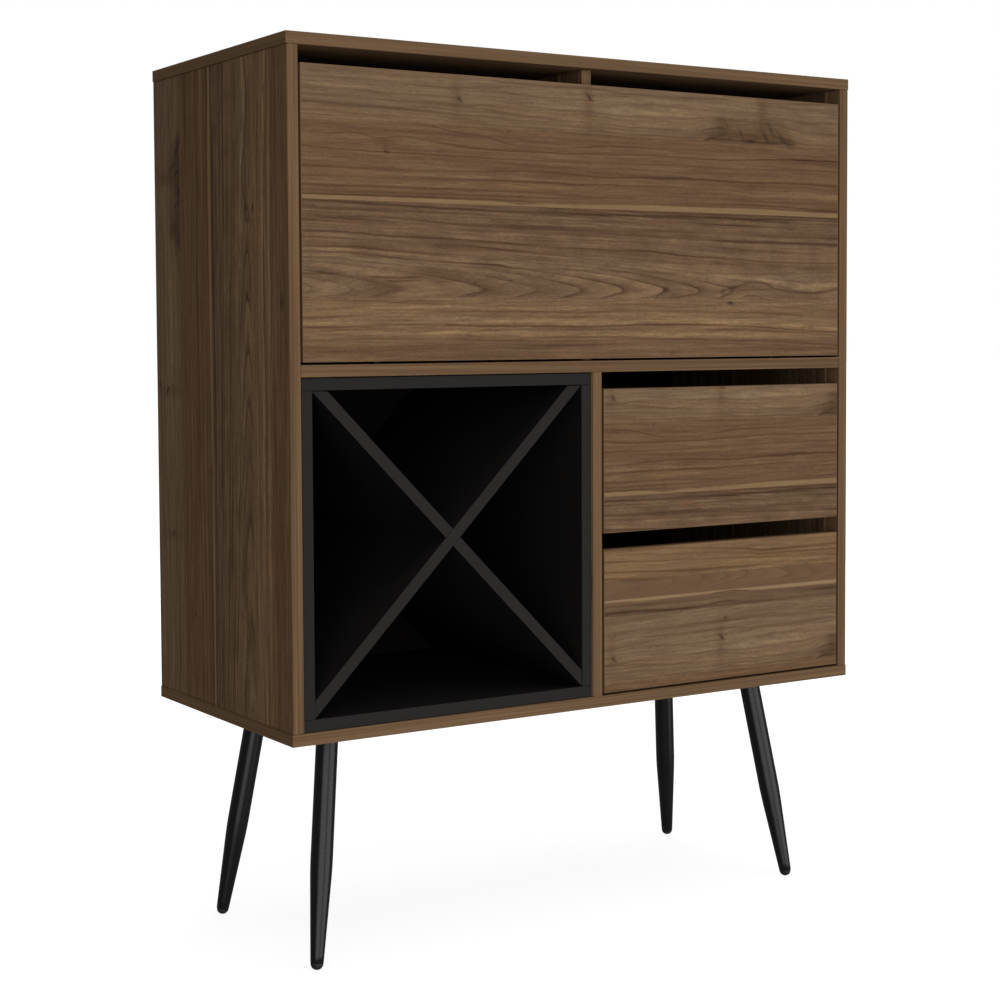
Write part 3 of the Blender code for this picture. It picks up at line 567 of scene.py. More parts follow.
WALNUT_MARKS = (
    Mark(224, 30.5, 3.6, 3, 30, 0.66),
    Mark(227.5, 33.5, 2.4, 1.2, 35, 0.50),
    Mark(425.5, 16.5, 6.2, 1.9, 44, 0.86),
    Mark(433, -10, 3, 3, 0, 0.62),
    Mark(117.5, 100, 3.6, 1.7, 0, 0.62),
    Mark(298, 67, 3, 1.3, -20, 0.42),
    Mark(299.5, 256.8, 4.2, 1.8, 5, 0.55),
    Mark(665, 284, 5, 1.7, 3, 0.78),
    Mark(665, 284, 14, 2.6, 0, 0.22),
    Mark(651, 271, 4.5, 6, 0, 0.34),
    Mark(551, 266, 7.5, 3, -25, 0.40),
    Mark(538, 275.5, 7, 1.5, -32, 0.36),
    Mark(562, 352, 5, 2, 0, 0.30),
    Mark(541, 362, 11, 4.5, 0, 0.60),
    Mark(515, 363, 6, 3.6, 0, 0.34),
    Mark(255, -114.8, 4, 1.8, 5, 0.50),
    Mark(513, -116.5, 13, 2, 0, 0.30),
    Mark(594, -76, 3, 1.3, 0, 0.42),
    # Strokes of the burl
    Mark(657.5, 39, 5, 1.2, 62, 0.50),
    Mark(682.5, 50, 9, 2.2, 60, 0.56),
    Mark(700.5, 60.4, 8.5, 2.8, 0, 0.90),
    Mark(709.5, 52.5, 5.5, 1.3, 68, 0.42),
    Mark(728, 53.5, 9.5, 2.8, 55, 0.62),
    Mark(737, 42, 11, 3, 55, 0.58),
    Mark(751, 46, 12, 1.6, 38, 0.40),
    Mark(762, 58.5, 15, 4.2, 28, 0.60),
    Mark(742, 60.6, 12, 2.6, 0, 0.54),
    Mark(634, 59, 18, 3.2, -14, 0.36),
    Mark(735, 29.5, 16, 1.2, 3, 0.34),
    Mark(668, 57, 12, 2, -8, 0.28),
)

WALNUT_SHADOWS = (
    Mark(220, 24, 26, 7.5, 90, 0.46),
    Mark(424, 20, 32, 8.5, 90, 0.55),
    Mark(722, 18, 30, 9, 90, 0.56),
    Mark(648, 44, 16, 9, 90, 0.52),
    Mark(700, 48, 60, 13, 0, 0.42),
    Mark(317, 151, 8, 5, 90, 0.30),
    Mark(195, 252, 85, 9, 0, 0.24),
    Mark(495, 262, 48, 13, 0, 0.30),
    Mark(620, 60, 42, 4, 0, 0.14),
    Mark(116, 94, 8, 4, 90, 0.22),
)

WALNUT_FLAMES = (
    Flame(161.6, 278.2,
          ((0, 268), (640, 268), (672, 264), (705, 261.5), (740, 268), (775, 275), (810, 279), (864, 274)),
          ((-60, 0.30), (10, 0.35), (62, 0.35), (117, 0.50), (252, 0.66), (335, 0.50), (409, 0.56),
           (475, 0.92), (548, 0.90), (607, 0.62), (664, 0.74), (731, 0.60), (795, 0.50), (860, 0.44)),
          0.23, 20.0),
    Flame(-76.0, -48.9,
          ((0, -66), (500, -66), (560, -61), (864, -61)),
          ((0, 0.06), (90, 0.10), (190, 0.08), (262, 0.06), (330, 0.14), (388, 0.26), (433, 0.30),
           (474, 0.34), (512, 0.12), (555, 0.34), (610, 0.14), (668, 0.20), (750, 0.16), (820, 0.20),
           (900, 0.1)),
          0.36, 3.0),
)


@dataclass(frozen=True)
class WalnutDecor(Finish):
    """Printed walnut foil: butted staves with veins, pointed arcs, knots, a burl and sapwood lines.

    Places on the sheet are in millimetres, s along it and t across it.
    """

    LOW: ClassVar[float] = -140.0
    HIGH: ClassVar[float] = 420.0
    SPAN: ClassVar[float] = HIGH - LOW
    LENGTH: ClassVar[float] = 900.0
    LAST_APEX: ClassVar[float] = 692.0
    MOST_ARCS: ClassVar[float] = 32.0
    MOST_FIGURE: ClassVar[float] = 2.0

    staves: tuple[Stave, ...] = WALNUT_STAVES
    veins: tuple[Vein, ...] = WALNUT_VEINS
    marks: tuple[Mark, ...] = WALNUT_MARKS
    shadows: tuple[Mark, ...] = WALNUT_SHADOWS
    flames: tuple[Flame, ...] = WALNUT_FLAMES
    broad_sapwood: tuple[Pair, ...] = (
        (0, 156.3), (290, 156.6), (304, 158.4), (315, 160), (326, 159), (345, 157), (432, 156.6),
        (480, 155.3), (520, 154.3), (620, 154), (700, 153.6), (780, 154.6), (864, 156.3))
    thin_sapwood: tuple[Pair, ...] = (
        (0, -45.6), (207, -46), (303, -44.6), (390, -45.2), (420, -46.8), (448, -47.8), (468, -46.4),
        (486, -44.6), (560, -43.8), (864, -43.4))
    vein_spread: float = 1.12
    slow_sway: float = 12.0
    wave_sway: float = 4.0
    ripple_sway: float = 0.8
    ring_width: float = 24.0
    burl_ends: Pair = (612.0, 778.0)
    burl_lift: float = 10.0
    burl_middle: float = 701.0
    burl_half: float = 60.0
    burl_head: float = 28.5
    burl_foot: float = 63.3
    burl_lean: float = 0.62

    slow: Layer = Layer(330.0, 70.0, 0.3, 1.5)
    wave: Layer = Layer(75.0, 22.0, 4.1)
    ripple: Layer = Layer(14.0, 7.0, 8.7, 1.5)
    band: Layer = Layer(800.0, 22.0, 50.0, 1.0, tone=0.16)
    streak: Layer = Layer(420.0, 9.0, 71.0, 1.5, tone=0.36)
    line: Layer = Layer(150.0, 4.4, 31.0, roughness=0.6, tone=0.46)
    fibre: Layer = Layer(42.0, 6.4, 90.0, roughness=0.6, tone=0.36)
    fleck: Layer = Layer(10.0, 2.4, 13.0, roughness=0.6, tone=0.24)
    cloud: Layer = Layer(60.0, 16.0, 43.0, 1.0, tone=0.14)
    pore: Layer = Layer(4.6, 1.9, 17.0, 1.0, tone=0.17)
    fan: Layer = Layer(24.0, 30.0, 61.0, 1.0)
    warmth: Layer = Layer(180.0, 12.0, 27.0)

    lighter: Colour = (1.02, 1.10, 1.00)
    darker: Colour = (1.10, 1.28, 1.42)
    cool: Colour = (0.965, 1.0, 1.045)
    warm: Colour = (1.035, 1.0, 0.955)
    plain: Colour = (1.0, 1.0, 1.0)
    red: Colour = (0.66, 0.54, 0.46)
    broad_sap: Colour = srgb(131, 105, 75)
    thin_sap: Colour = srgb(140, 114, 84)
    knot: Colour = srgb(44, 35, 27)

    def share(self, across: float) -> float:
        """Place of a distance across the sheet on the ramps and curves, from 0 to 1."""
        return (across - self.LOW) / self.SPAN

    def table(self, graph: Graph, share: Field, pick: Callable[[Stave], Colour]) -> Field:
        """Three numbers that are picked for each stave, looked up at a share across the sheet."""
        return graph.ramp(share, [(self.share(s.start), pick(s)) for s in self.staves])

    def path(self, graph: Graph, along: Field, points: Iterable[Pair]) -> Field:
        """Share across the sheet of a line that runs along it through points in millimetres."""
        return graph.curve(along, [(s / self.LENGTH, self.share(t)) for s, t in points])

    def vein_tones(self, graph: Graph, along: Field, across: Field) -> tuple[Field, Field]:
        """Darkening and lightening by the veins.

        Args:
            graph: the material's nodes.
            along: share along the sheet.
            across: share across the sheet.

        Returns:
            The darkening and the lightening.
        """
        sums = {False: graph.zero(), True: graph.zero()}
        for vein in self.veins:
            middle = self.path(graph, along, [point[:2] for point in vein.points])
            depth = graph.curve(along, [(point[0] / self.LENGTH, point[2] / 100) for point in vein.points])
            away = (across - middle) * (self.SPAN / (vein.half * self.vein_spread))
            sums[vein.light] = graph.math("MULTIPLY_ADD", graph.bell(away * away), depth, sums[vein.light])
        return sums[False], sums[True]

    @staticmethod
    def spots(graph: Graph, place: Field, marks: Iterable[Mark]) -> Field:
        """Darkening by spots.

        Args:
            graph: the material's nodes.
            place: place on the sheet.
            marks: the spots.

        Returns:
            The darkening.
        """
        total = graph.zero()
        for mark in marks:
            turned = graph.add("ShaderNodeMapping", {
                "Vector": place, "Location": (mark.along, mark.across, 0.0),
                "Rotation": (0.0, 0.0, math.radians(mark.turn)), "Scale": (mark.length, mark.width, 1.0),
            }, vector_type="TEXTURE")
            length = graph.add("ShaderNodeVectorMath", {0: turned.outputs[0]}, operation="LENGTH")
            reach = Field(graph, length.outputs["Value"])
            total = graph.math("MULTIPLY_ADD", graph.bell(reach * reach), mark.depth, total)
        return total

    def flame_field(self, graph: Graph, flame: Flame, s: Field, along: Field,
                    bent: Field) -> tuple[Field, Field]:
        """Growth of one flame.

        Args:
            graph: the material's nodes.
            flame: the flame.
            s: waved distance along the sheet.
            along: share along the sheet.
            bent: waved distance across the sheet.

        Returns:
            Fields of its growth along its axis and of the distance from that axis.
        """
        level = flame.axis[0][1]
        axis = self.path(graph, along, flame.axis) * self.SPAN + (self.LOW - level)
        away = (bent - level) / 17.0
        rise = level + axis * graph.bell(away * away) - bent
        square = rise * rise
        tip = (1.0 - graph.bell(square / 64.0)) * flame.reach
        held = graph.math("MINIMUM", s, self.LAST_APEX)
        return held + square * flame.curve + tip, rise

    def arc_tone(self, graph: Graph, flame: Flame, rings: Field, rise: Field) -> Field:
        """Darkening by the arcs of one flame.

        Args:
            graph: the material's nodes.
            flame: the flame.
            rings: its growth.
            rise: distance from its axis.

        Returns:
            The darkening, which starts sharply at each arc and fades after it.
        """
        first, last = flame.apexes[0][0], flame.apexes[-1][0]
        place = (rings - first) / (last - first)
        places = [(apex - first) / (last - first) for apex, _ in flame.apexes]
        counts = [(at, i / self.MOST_ARCS) for i, at in enumerate(places)]
        depths = [(at, apex[1]) for at, apex in zip(places, flame.apexes)]
        phase = graph.math("FRACT", graph.curve(place, counts, straight=True) * self.MOST_ARCS)
        near = graph.bell(rise * rise / 700.0) * 0.85 + 0.15
        edge = graph.step(phase, 0.0, 0.07) * graph.math("POWER", 1.0 - phase, 5.0)
        return (edge * near - phase * 0.16) * graph.curve(place, depths)

    def burl_tone(self, graph: Graph, s: Field, t: Field, ripple: Field) -> Field:
        """Darkening by the burl, a trapezoid of short soft strokes that stands on a joint.

        Args:
            graph: the material's nodes.
            s: distance along the sheet.
            t: distance across the sheet.
            ripple: fine waves.

        Returns:
            The darkening.
        """
        reach = graph.math("ABSOLUTE", s - self.burl_middle) - (t - 28.0) * self.burl_lean + ripple * 8.0
        heights = graph.window(t + ripple * 3.0, self.burl_head, self.burl_foot, 2.5)
        burl = graph.step(reach, self.burl_half + 6.0, self.burl_half - 6.0) * heights
        burl = burl * graph.window(t, 0.0, self.burl_foot, 0.1)
        fan = graph.layer(s - t * 0.6, t, self.fan)
        strokes = graph.step(graph.math("ABSOLUTE", fan), 0.20, 0.0)
        return burl * (0.10 + strokes * 0.07 + graph.step(t, 46.0, 63.0) * 0.22)

    def add_sapwood(self, graph: Graph, colour: Field, along: Field, t: Field, waves: Field,
                    tone: Field) -> Field:
        """Lay the light lines at the foot of one stave and the head of another.

        Args:
            graph: the material's nodes.
            colour: the colour so far.
            along: share along the sheet.
            t: distance across the sheet.
            waves: fine waves of the lines' edges.
            tone: texture of the sapwood.

        Returns:
            The colour with the lines.
        """
        texture = graph.tone_factor(tone)
        broad = self.path(graph, along, self.broad_sapwood) * self.SPAN + self.LOW
        broad_share = graph.step(t - broad + waves * 0.7, -0.7, 0.7) * graph.step(t, 160.9, 161.7, 1.0, 0.0)
        thin = self.path(graph, along, self.thin_sapwood) * self.SPAN + self.LOW
        thin_share = graph.step(t - thin + waves * 0.6, 0.8, -0.8) * graph.step(t, -49.1, -48.3)
        colour = graph.mix(broad_share, colour, graph.scale_colour(self.broad_sap, texture))
        return graph.mix(thin_share, colour, graph.scale_colour(self.thin_sap, texture))

    def dress(self, graph: Coat) -> None:
        """Write the printed walnut, its sheen and its pores.

        Args:
            graph: the material's nodes.
        """
        s, t = graph.sheet()
        along = s / self.LENGTH
        across = (t - self.LOW) / self.SPAN
        base = self.table(graph, across, lambda stave: stave.colour)
        most = self.MOST_FIGURE
        rules = self.table(graph, across, lambda stave: (stave.figure / most, stave.waves / most, 0.0))
        rule_parts = graph.add("ShaderNodeSeparateColor", {0: rules}).outputs
        figure, waves = (Field(graph, part) * most for part in rule_parts[:2])

        # Grain that waves slowly and rises to the burl
        slow = graph.layer(s, t, self.slow)
        wave = graph.layer(s, t, self.wave)
        ripple = graph.layer(s, t, self.ripple)
        bent = t + (slow * self.slow_sway + wave * self.wave_sway) * waves + ripple * self.ripple_sway
        over_burl = graph.window(s, *self.burl_ends, 36.0) * graph.step(t, 16.0, 40.0)
        over_burl = over_burl * graph.step(t, self.burl_foot - 0.1, self.burl_foot + 0.1, 1.0, 0.0)
        bent = bent + over_burl * self.burl_lift

        # Growth: across the sheet in plain staves, and along the arcs in flames
        growth = bent
        arcs = graph.zero()
        for flame in self.flames:
            inside = graph.window(t, flame.top, flame.foot, 0.05)
            rings, rise = self.flame_field(graph, flame, s + wave * 14.0 + ripple * 5.0, along, bent)
            growth = growth + (rings / self.ring_width - growth) * inside
            arcs = arcs + self.arc_tone(graph, flame, rings, rise) * inside

        # Print that follows the growth
        band = graph.layer(s, growth, self.band)
        streak = graph.layer(s, growth, self.streak)
        line = graph.layer(s, growth, self.line)
        fibre = graph.layer(s, growth + bent, self.fibre)
        fleck = graph.layer(s, bent, self.fleck)
        pore = graph.layer(s, bent, self.pore)
        cloud = graph.layer(s, t, self.cloud)
        texture = band * self.band.tone + streak * self.streak.tone + line * self.line.tone
        texture = texture + fibre * self.fibre.tone + fleck * self.fleck.tone + cloud * self.cloud.tone
        texture = texture + pore * self.pore.tone

        # Tones of the veins, arcs and burl over it
        jitter = wave * 0.9 + ripple * 0.9
        dark, light = self.vein_tones(graph, along, across + jitter / self.SPAN)
        loose = 1.0 + fibre * 1.1 + fleck * 0.6
        lit = light * (1.3 + fibre * 0.9 + fleck * 0.8)
        tone = texture * figure + lit - dark * loose * 1.35 - arcs * (1.0 + cloud * 1.2)
        tone = tone - self.burl_tone(graph, s, t, ripple)

        # Colours, with the knots and their reddened surroundings
        place = graph.vector(s + ripple * 1.6, t + wave * 1.0 + ripple * 1.2)
        spots = self.spots(graph, place, self.marks)
        shadows = self.spots(graph, place, self.shadows)
        colour = graph.multiply(base, graph.tone_colour(tone, self.lighter, self.darker))
        warmth = graph.layer(s, growth, self.warmth)
        colour = graph.multiply(colour, graph.mix(0.5 + warmth * 0.9, self.cool, self.warm))
        colour = graph.multiply(colour, graph.mix(shadows, self.plain, self.red))
        sap_tone = fibre * 0.14 + line * 0.18 + fleck * 0.10
        colour = self.add_sapwood(graph, colour, along, t, ripple, sap_tone)
        graph.cover(graph.mix(spots, colour, self.knot), 0.66 + fibre * 0.05 + dark * 0.08, 0.06)
        graph.emboss(fibre * 0.5 + fleck * 0.8, 0.00004, 0.6)


@dataclass(frozen=True)
class WalnutEdgeBand(Finish):
    """Plastic edge band printed with walnut stripes that run along it."""

    light: Colour = srgb(123, 96, 69)
    dark: Colour = srgb(88, 67, 47)
    stripe: Layer = Layer(520.0, 3.4, 1.5, 1.5, tone=0.95)
    line: Layer = Layer(130.0, 1.3, 7.5, tone=0.42)
    speck: Layer = Layer(11.0, 0.6, 3.3, 1.0, tone=0.10)

    def dress(self, graph: Coat) -> None:
        """Write the soft stripes and the fine print of the band.

        Args:
            graph: the material's nodes.
        """
        s, t = graph.sheet()
        stripes, lines, specks = (graph.layer(s, t, layer) for layer in (self.stripe, self.line, self.speck))
        share = 0.52 + stripes * self.stripe.tone + lines * self.line.tone
        colour = graph.mix(share, self.dark, self.light)
        colour = graph.scale_colour(colour, 1.0 + specks * self.speck.tone)
        graph.cover(colour, 0.62 + specks * 0.05, 0.07)
        graph.emboss(specks, 0.00003, 0.5)


@dataclass(frozen=True)
class DrawerFoil(Finish):
    """Dark walnut foil on the drawer boxes, with a plain straight figure."""

    light: Colour = srgb(92, 71, 53)
    dark: Colour = srgb(62, 47, 35)
    wave: Layer = Layer(150.0, 30.0, 2.0, 1.0)
    grain: Layer = Layer(300.0, 4.5, 9.0, 3.0, 0.6, tone=0.9)
    fibre: Layer = Layer(20.0, 0.7, 5.0, 1.5, tone=0.14)

    def dress(self, graph: Coat) -> None:
        """Write the straight figure of the foil.

        Args:
            graph: the material's nodes.
        """
        s, t = graph.sheet()
        bent = t + graph.layer(s, t, self.wave) * 3.0
        grain = graph.layer(s, bent, self.grain)
        fibre = graph.layer(s, bent, self.fibre)
        colour = graph.mix(0.5 + grain * self.grain.tone, self.dark, self.light)
        colour = graph.scale_colour(colour, 1.0 + fibre * self.fibre.tone)
        graph.cover(colour, 0.62 + fibre * 0.06)
        graph.emboss(fibre, 0.00004, 0.5)


@dataclass(frozen=True)
class BlackDecor(Finish):
    """Matt black foil with a faint pressed wood texture, worn a little lighter at random."""

    # Darker than the edge band's colour: the foil's own black, with the shade inside the rack painted in.
    colour: Colour = srgb(26, 24, 23)
    press: Layer = Layer(22.0, 1.1, 2.0, tone=0.16)
    cloud: Layer = Layer(90.0, 60.0, 6.0, tone=0.10)

    def dress(self, graph: Coat) -> None:
        """Write the pressed texture and its faint unevenness.

        Args:
            graph: the material's nodes.
        """
        s, t = graph.sheet()
        press = graph.layer(s, t, self.press)
        factor = 1.0 + press * self.press.tone + graph.layer(s, t, self.cloud) * self.cloud.tone
        graph.cover(graph.scale_colour(self.colour, factor), 0.68 + press * 0.07, 0.08)
        graph.emboss(press, 0.00005, 0.7)


@dataclass(frozen=True)
class BlackEdgeBand(BlackDecor):
    """Matt black plastic edge band, lighter than the foil behind it, whose darker colour holds painted shade
    of the rack's inside.
    """

    colour: Colour = srgb(39, 37, 36)


@dataclass(frozen=True)
class RawChipboard(Finish):
    """Sawn edge of chipboard, with pressed flakes and the gaps between them."""

    pale: Colour = srgb(176, 146, 106)
    deep: Colour = srgb(112, 84, 56)
    flakes_per_metre: float = 420.0
    dust_per_metre: float = 1500.0
    gap_depth: float = 0.0003

    def dress(self, graph: Coat) -> None:
        """Write the flakes, the gaps between them, darkened as painted shade, and the rough cut.

        Args:
            graph: the material's nodes.
        """
        point = graph.object_point()
        cells = graph.add("ShaderNodeTexVoronoi",
                          {"Vector": point, "Scale": self.flakes_per_metre, "Randomness": 1.0})
        flake = Field(graph, graph.add("ShaderNodeSeparateColor", {0: cells.outputs["Color"]}).outputs[0])
        gaps = graph.step(Field(graph, cells.outputs["Distance"]), 0.45, 0.75)
        dust = graph.noise(point, scale=self.dust_per_metre, detail=2.0)
        colour = graph.mix(flake * 0.75 + dust * 0.25, self.pale, self.deep)
        # Gaps darkened by almost half: painted shade in the voids between the flakes.
        graph.cover(graph.scale_colour(colour, 1.0 - gaps * 0.45), 0.92)
        graph.emboss(flake * 0.5 - gaps, self.gap_depth, 0.8)


@dataclass(frozen=True)
class Hardboard(Finish):
    """Rear of the pressed back board: brown fibre with a fine mesh print."""

    pale: Colour = srgb(128, 98, 68)
    deep: Colour = srgb(92, 68, 46)
    fibre_scale: float = 260.0
    cloud_scale: float = 9.0
    mesh_scale: float = 3900.0

    def dress(self, graph: Coat) -> None:
        """Write the pressed fibre and the print of the press's wire mesh.

        Args:
            graph: the material's nodes.
        """
        point = graph.object_point()
        fibre = graph.noise(point, scale=self.fibre_scale, detail=4.0, roughness=0.7)
        cloud = graph.noise(point, scale=self.cloud_scale, detail=2.0)
        x, _, z = graph.split(point)
        mesh = graph.math("SINE", x * self.mesh_scale) * graph.math("SINE", z * self.mesh_scale)
        colour = graph.mix(0.5 + fibre * 0.6 + cloud * 0.35, self.deep, self.pale)
        graph.cover(colour, 0.78 + fibre * 0.08)
        graph.emboss(mesh * 0.5 + fibre * 0.5, 0.00008, 0.6)


@dataclass(frozen=True)
class Grain:
    """Noise on a piece: cells per metre, shares of the colour and roughness, and its relief in metres."""

    scale: float
    tone: float = 0.0
    gloss: float = 0.0
    detail: float = 2.0
    depth: float = 0.0
    strength: float = 0.0


@dataclass(frozen=True)
class PlainFinish(Finish):
    """A finish of one colour that layers of noise make uneven."""

    colour: Colour = (0.0, 0.0, 0.0)
    roughness: float = 0.5
    specular: float = 0.5
    inner_light: float = 0.0
    inner_depth: float = 0.002
    grains: tuple[Grain, ...] = ()

    def dress(self, graph: Coat) -> None:
        """Write the uneven colour and gloss, and the relief.

        Args:
            graph: the material's nodes.
        """
        point = graph.object_point()
        factor, roughness = 1.0, self.roughness
        for grain in self.grains:
            noise = graph.noise(point, scale=grain.scale, detail=grain.detail)
            factor = factor + noise * grain.tone
            roughness = roughness + noise * grain.gloss
            if grain.depth:
                graph.emboss(noise, grain.depth, grain.strength)
        graph.cover(graph.scale_colour(self.colour, factor), roughness, self.specular)
        if self.inner_light:
            graph.shader.inputs["Subsurface Weight"].default_value = self.inner_light
            graph.shader.inputs["Subsurface Scale"].default_value = self.inner_depth


@dataclass(frozen=True)
class DarkBackFoil(PlainFinish):
    """Near-black foil on the inner face of the back board and the drawer bottoms, with faint orange peel; its
    colour is partly painted shade of the deep compartments.
    """

    # Colour made darker than the foil's own, to paint the shade at the back of the compartments.
    colour: Colour = srgb(27, 22, 19)
    roughness: float = 0.66
    specular: float = 0.10
    grains: tuple[Grain, ...] = (Grain(14.0, 0.14, 0.05), Grain(700.0, 0.08, depth=0.00004, strength=0.6))


@dataclass(frozen=True)
class SatinBlack(PlainFinish):
    """Satin black lacquer of the legs and their plates, with fine peel and handling marks."""

    colour: Colour = srgb(11, 11, 11)
    roughness: float = 0.27
    specular: float = 0.42
    grains: tuple[Grain, ...] = (Grain(45.0, 0.14, 0.05, 3.0),
                                 Grain(900.0, gloss=0.02, depth=0.00004, strength=0.35))


@dataclass(frozen=True)
class MouldedPlastic(PlainFinish):
    """Matt black moulded plastic of the feet and catches, finely grained and scuffed."""

    colour: Colour = srgb(22, 22, 22)
    roughness: float = 0.58
    grains: tuple[Grain, ...] = (Grain(160.0, 0.25, 0.10, 3.0),
                                 Grain(2200.0, detail=1.0, depth=0.00003, strength=0.5))


@dataclass(frozen=True)
class BrownCap(PlainFinish):
    """Faintly clouded brown plastic of the caps over the fittings."""

    colour: Colour = srgb(78, 58, 42)
    grains: tuple[Grain, ...] = (Grain(240.0, 0.12, 0.08),)


@dataclass(frozen=True)
class Nylon(PlainFinish):
    """Off-white nylon of the slide rollers, which light enters a little."""

    colour: Colour = srgb(214, 210, 200)
    roughness: float = 0.45
    inner_light: float = 0.15
    grains: tuple[Grain, ...] = (Grain(320.0, 0.10, 0.10),)


@dataclass(frozen=True)
class ZincPlate(Finish):
    """Bright zinc plating on pressed steel, with spangle and fine scratches."""

    colour: Colour = (0.56, 0.57, 0.59)
    cold: Colour = (0.44, 0.46, 0.49)
    spangle_scale: float = 380.0
    scratch_scales: Point = (90.0, 1900.0, 1400.0)

    def dress(self, graph: Coat) -> None:
        """Write the spangle and the scratches.

        Args:
            graph: the material's nodes.
        """
        point = graph.object_point()
        spangle = graph.noise(point, scale=self.spangle_scale, detail=1.0)
        stretched = (part * scale for part, scale in zip(graph.split(point), self.scratch_scales))
        scratch = graph.noise(graph.vector(*stretched))
        colour = graph.mix(0.5 + spangle * 0.8, self.cold, self.colour)
        graph.cover(graph.scale_colour(colour, 1.0 + scratch * 0.10), 0.34 + spangle * 0.08 + scratch * 0.08)
        graph.shader.inputs["Metallic"].default_value = 1.0
        graph.emboss(scratch, 0.00002, 0.4)


@dataclass(frozen=True)
class BlackZinc(ZincPlate):
    """Zinc of the hinges, coloured near-black as painted shade of the flap's gap, so that they stay unseen in
    it.
    """

    # Near-black colours: painted shade of the gap under the flap, not the zinc's own colour.
    colour: Colour = (0.014, 0.013, 0.012)
    cold: Colour = (0.009, 0.009, 0.008)


@dataclass(frozen=True)
class StudioFloor(Finish):
    """Plain pale floor that glows like a light table, so that shadows on it stay faint."""

    pale: Colour = (0.30, 0.30, 0.30)
    white: Colour = (1.0, 1.0, 1.0)
    near_glow: float = 0.85
    far_glow: float = 1.0
    near_reach: float = 0.4
    far_reach: float = 2.4

    def dress(self, graph: Coat) -> None:
        """Write the matt floor, which grows to full white away from the cabinet.

        Args:
            graph: the material's nodes.
        """
        length = graph.add("ShaderNodeVectorMath", {0: graph.object_point()}, operation="LENGTH")
        reach = Field(graph, length.outputs["Value"])
        glow = graph.step(reach, self.near_reach, self.far_reach, self.near_glow, self.far_glow)
        graph.feed(graph.shader.inputs["Emission Strength"], glow)
        graph.shader.inputs["Emission Color"].default_value = (*self.white, 1.0)
        graph.cover((*self.pale, 1.0), 0.9, 0.0)


# Meshes

WELD = 2e-6
NEAR = 1e-5
FLAT_ANGLE = math.radians(0.6)


def solid_of(node: str) -> bmesh.types.BMesh:
    """Closed solid of a CAD node, with its triangles merged into flat faces.

    Args:
        node: the node's name.

    Returns:
        A new bmesh in the row frame.
    """
    shape = bmesh.new()
    shape.from_mesh(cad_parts[node].data)
    bmesh.ops.remove_doubles(shape, verts=shape.verts, dist=WELD)
    bmesh.ops.dissolve_limit(shape, angle_limit=FLAT_ANGLE, verts=shape.verts, edges=shape.edges)
    bmesh.ops.recalc_face_normals(shape, faces=shape.faces)
    return shape


def round_edges(shape: bmesh.types.BMesh, edges: Sequence[bmesh.types.BMEdge],
                radius: float) -> list[bmesh.types.BMFace]:
    """Round some edges of a solid, and give the new faces."""
    result = bmesh.ops.bevel(shape, geom=edges, offset=radius, offset_type="OFFSET", segments=2, profile=0.5,
                             affect="EDGES", clamp_overlap=True)
    return result["faces"]


def finished_object(name: str, shape: bmesh.types.BMesh, finishes: Sequence[Finish]) -> bpy.types.Object:
    """Turn a bmesh into an object at the origin with its materials.

    Args:
        name: the object's name.
        shape: the bmesh, which is freed.
        finishes: the materials' finishes, in the order of the faces' material indices.

    Returns:
        The object.
    """
    mesh = bpy.data.meshes.new(name)
    shape.to_mesh(mesh)
    shape.free()
    for finish in finishes:
        mesh.materials.append(finish.material())
    made = bpy.data.objects.new(name, mesh)
    bpy.context.scene.collection.objects.link(made)
    return made


def install(piece: bpy.types.Object, body: str,
            nodes: Sequence[str] = ()) -> None:
    """Hang a finished piece on its body and report it.

    Args:
        piece: the finished object, in place.
        body: the CAD body that carries it.
        nodes: CAD nodes that the piece stands for.
    """
    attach(piece, body)
    if nodes:
        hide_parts(*nodes)
    LOG.info("%s on %s, %d faces", piece.name, body, len(piece.data.polygons))


def install_pressed(node: str, body: str, is_inner: Callable[[Vector], bool]) -> None:
    """Make a thin pressed board: foil on its inner face, bare fibre elsewhere.

    Args:
        node: the board's CAD node.
        body: the CAD body that carries it.
        is_inner: whether a face with this normal is the inner one.
    """
    shape = solid_of(node)
    for face in shape.faces:
        face.material_index = 0 if is_inner(face.normal) else 1
    piece = finished_object("pressed_" + node, shape, (DarkBackFoil(), Hardboard()))
    install(piece, body, [node])


class Side(Enum):
    """Outer sides of a board."""

    LEFT = (-1.0, 0.0, 0.0)
    RIGHT = (1.0, 0.0, 0.0)
    FRONT = (0.0, -1.0, 0.0)
    BACK = (0.0, 1.0, 0.0)
    BOTTOM = (0.0, 0.0, -1.0)
    TOP = (0.0, 0.0, 1.0)


class Surface(IntEnum):
    """What covers a face of a board, in the order of the board's materials."""

    FACE = 0
    BAND = 1
    CORE = 2


@dataclass(frozen=True)
class Cut:
    """How a board is cut from the printed sheet.

    Distances on the sheet are the dot products with two directions, plus a start.
    """

    along: Point
    across: Point
    start: Pair

    def place(self, point: Vector) -> Pair:
        """Place on the sheet of a point of the board."""
        return (point.dot(Vector(self.along)) + self.start[0], point.dot(Vector(self.across)) + self.start[1])


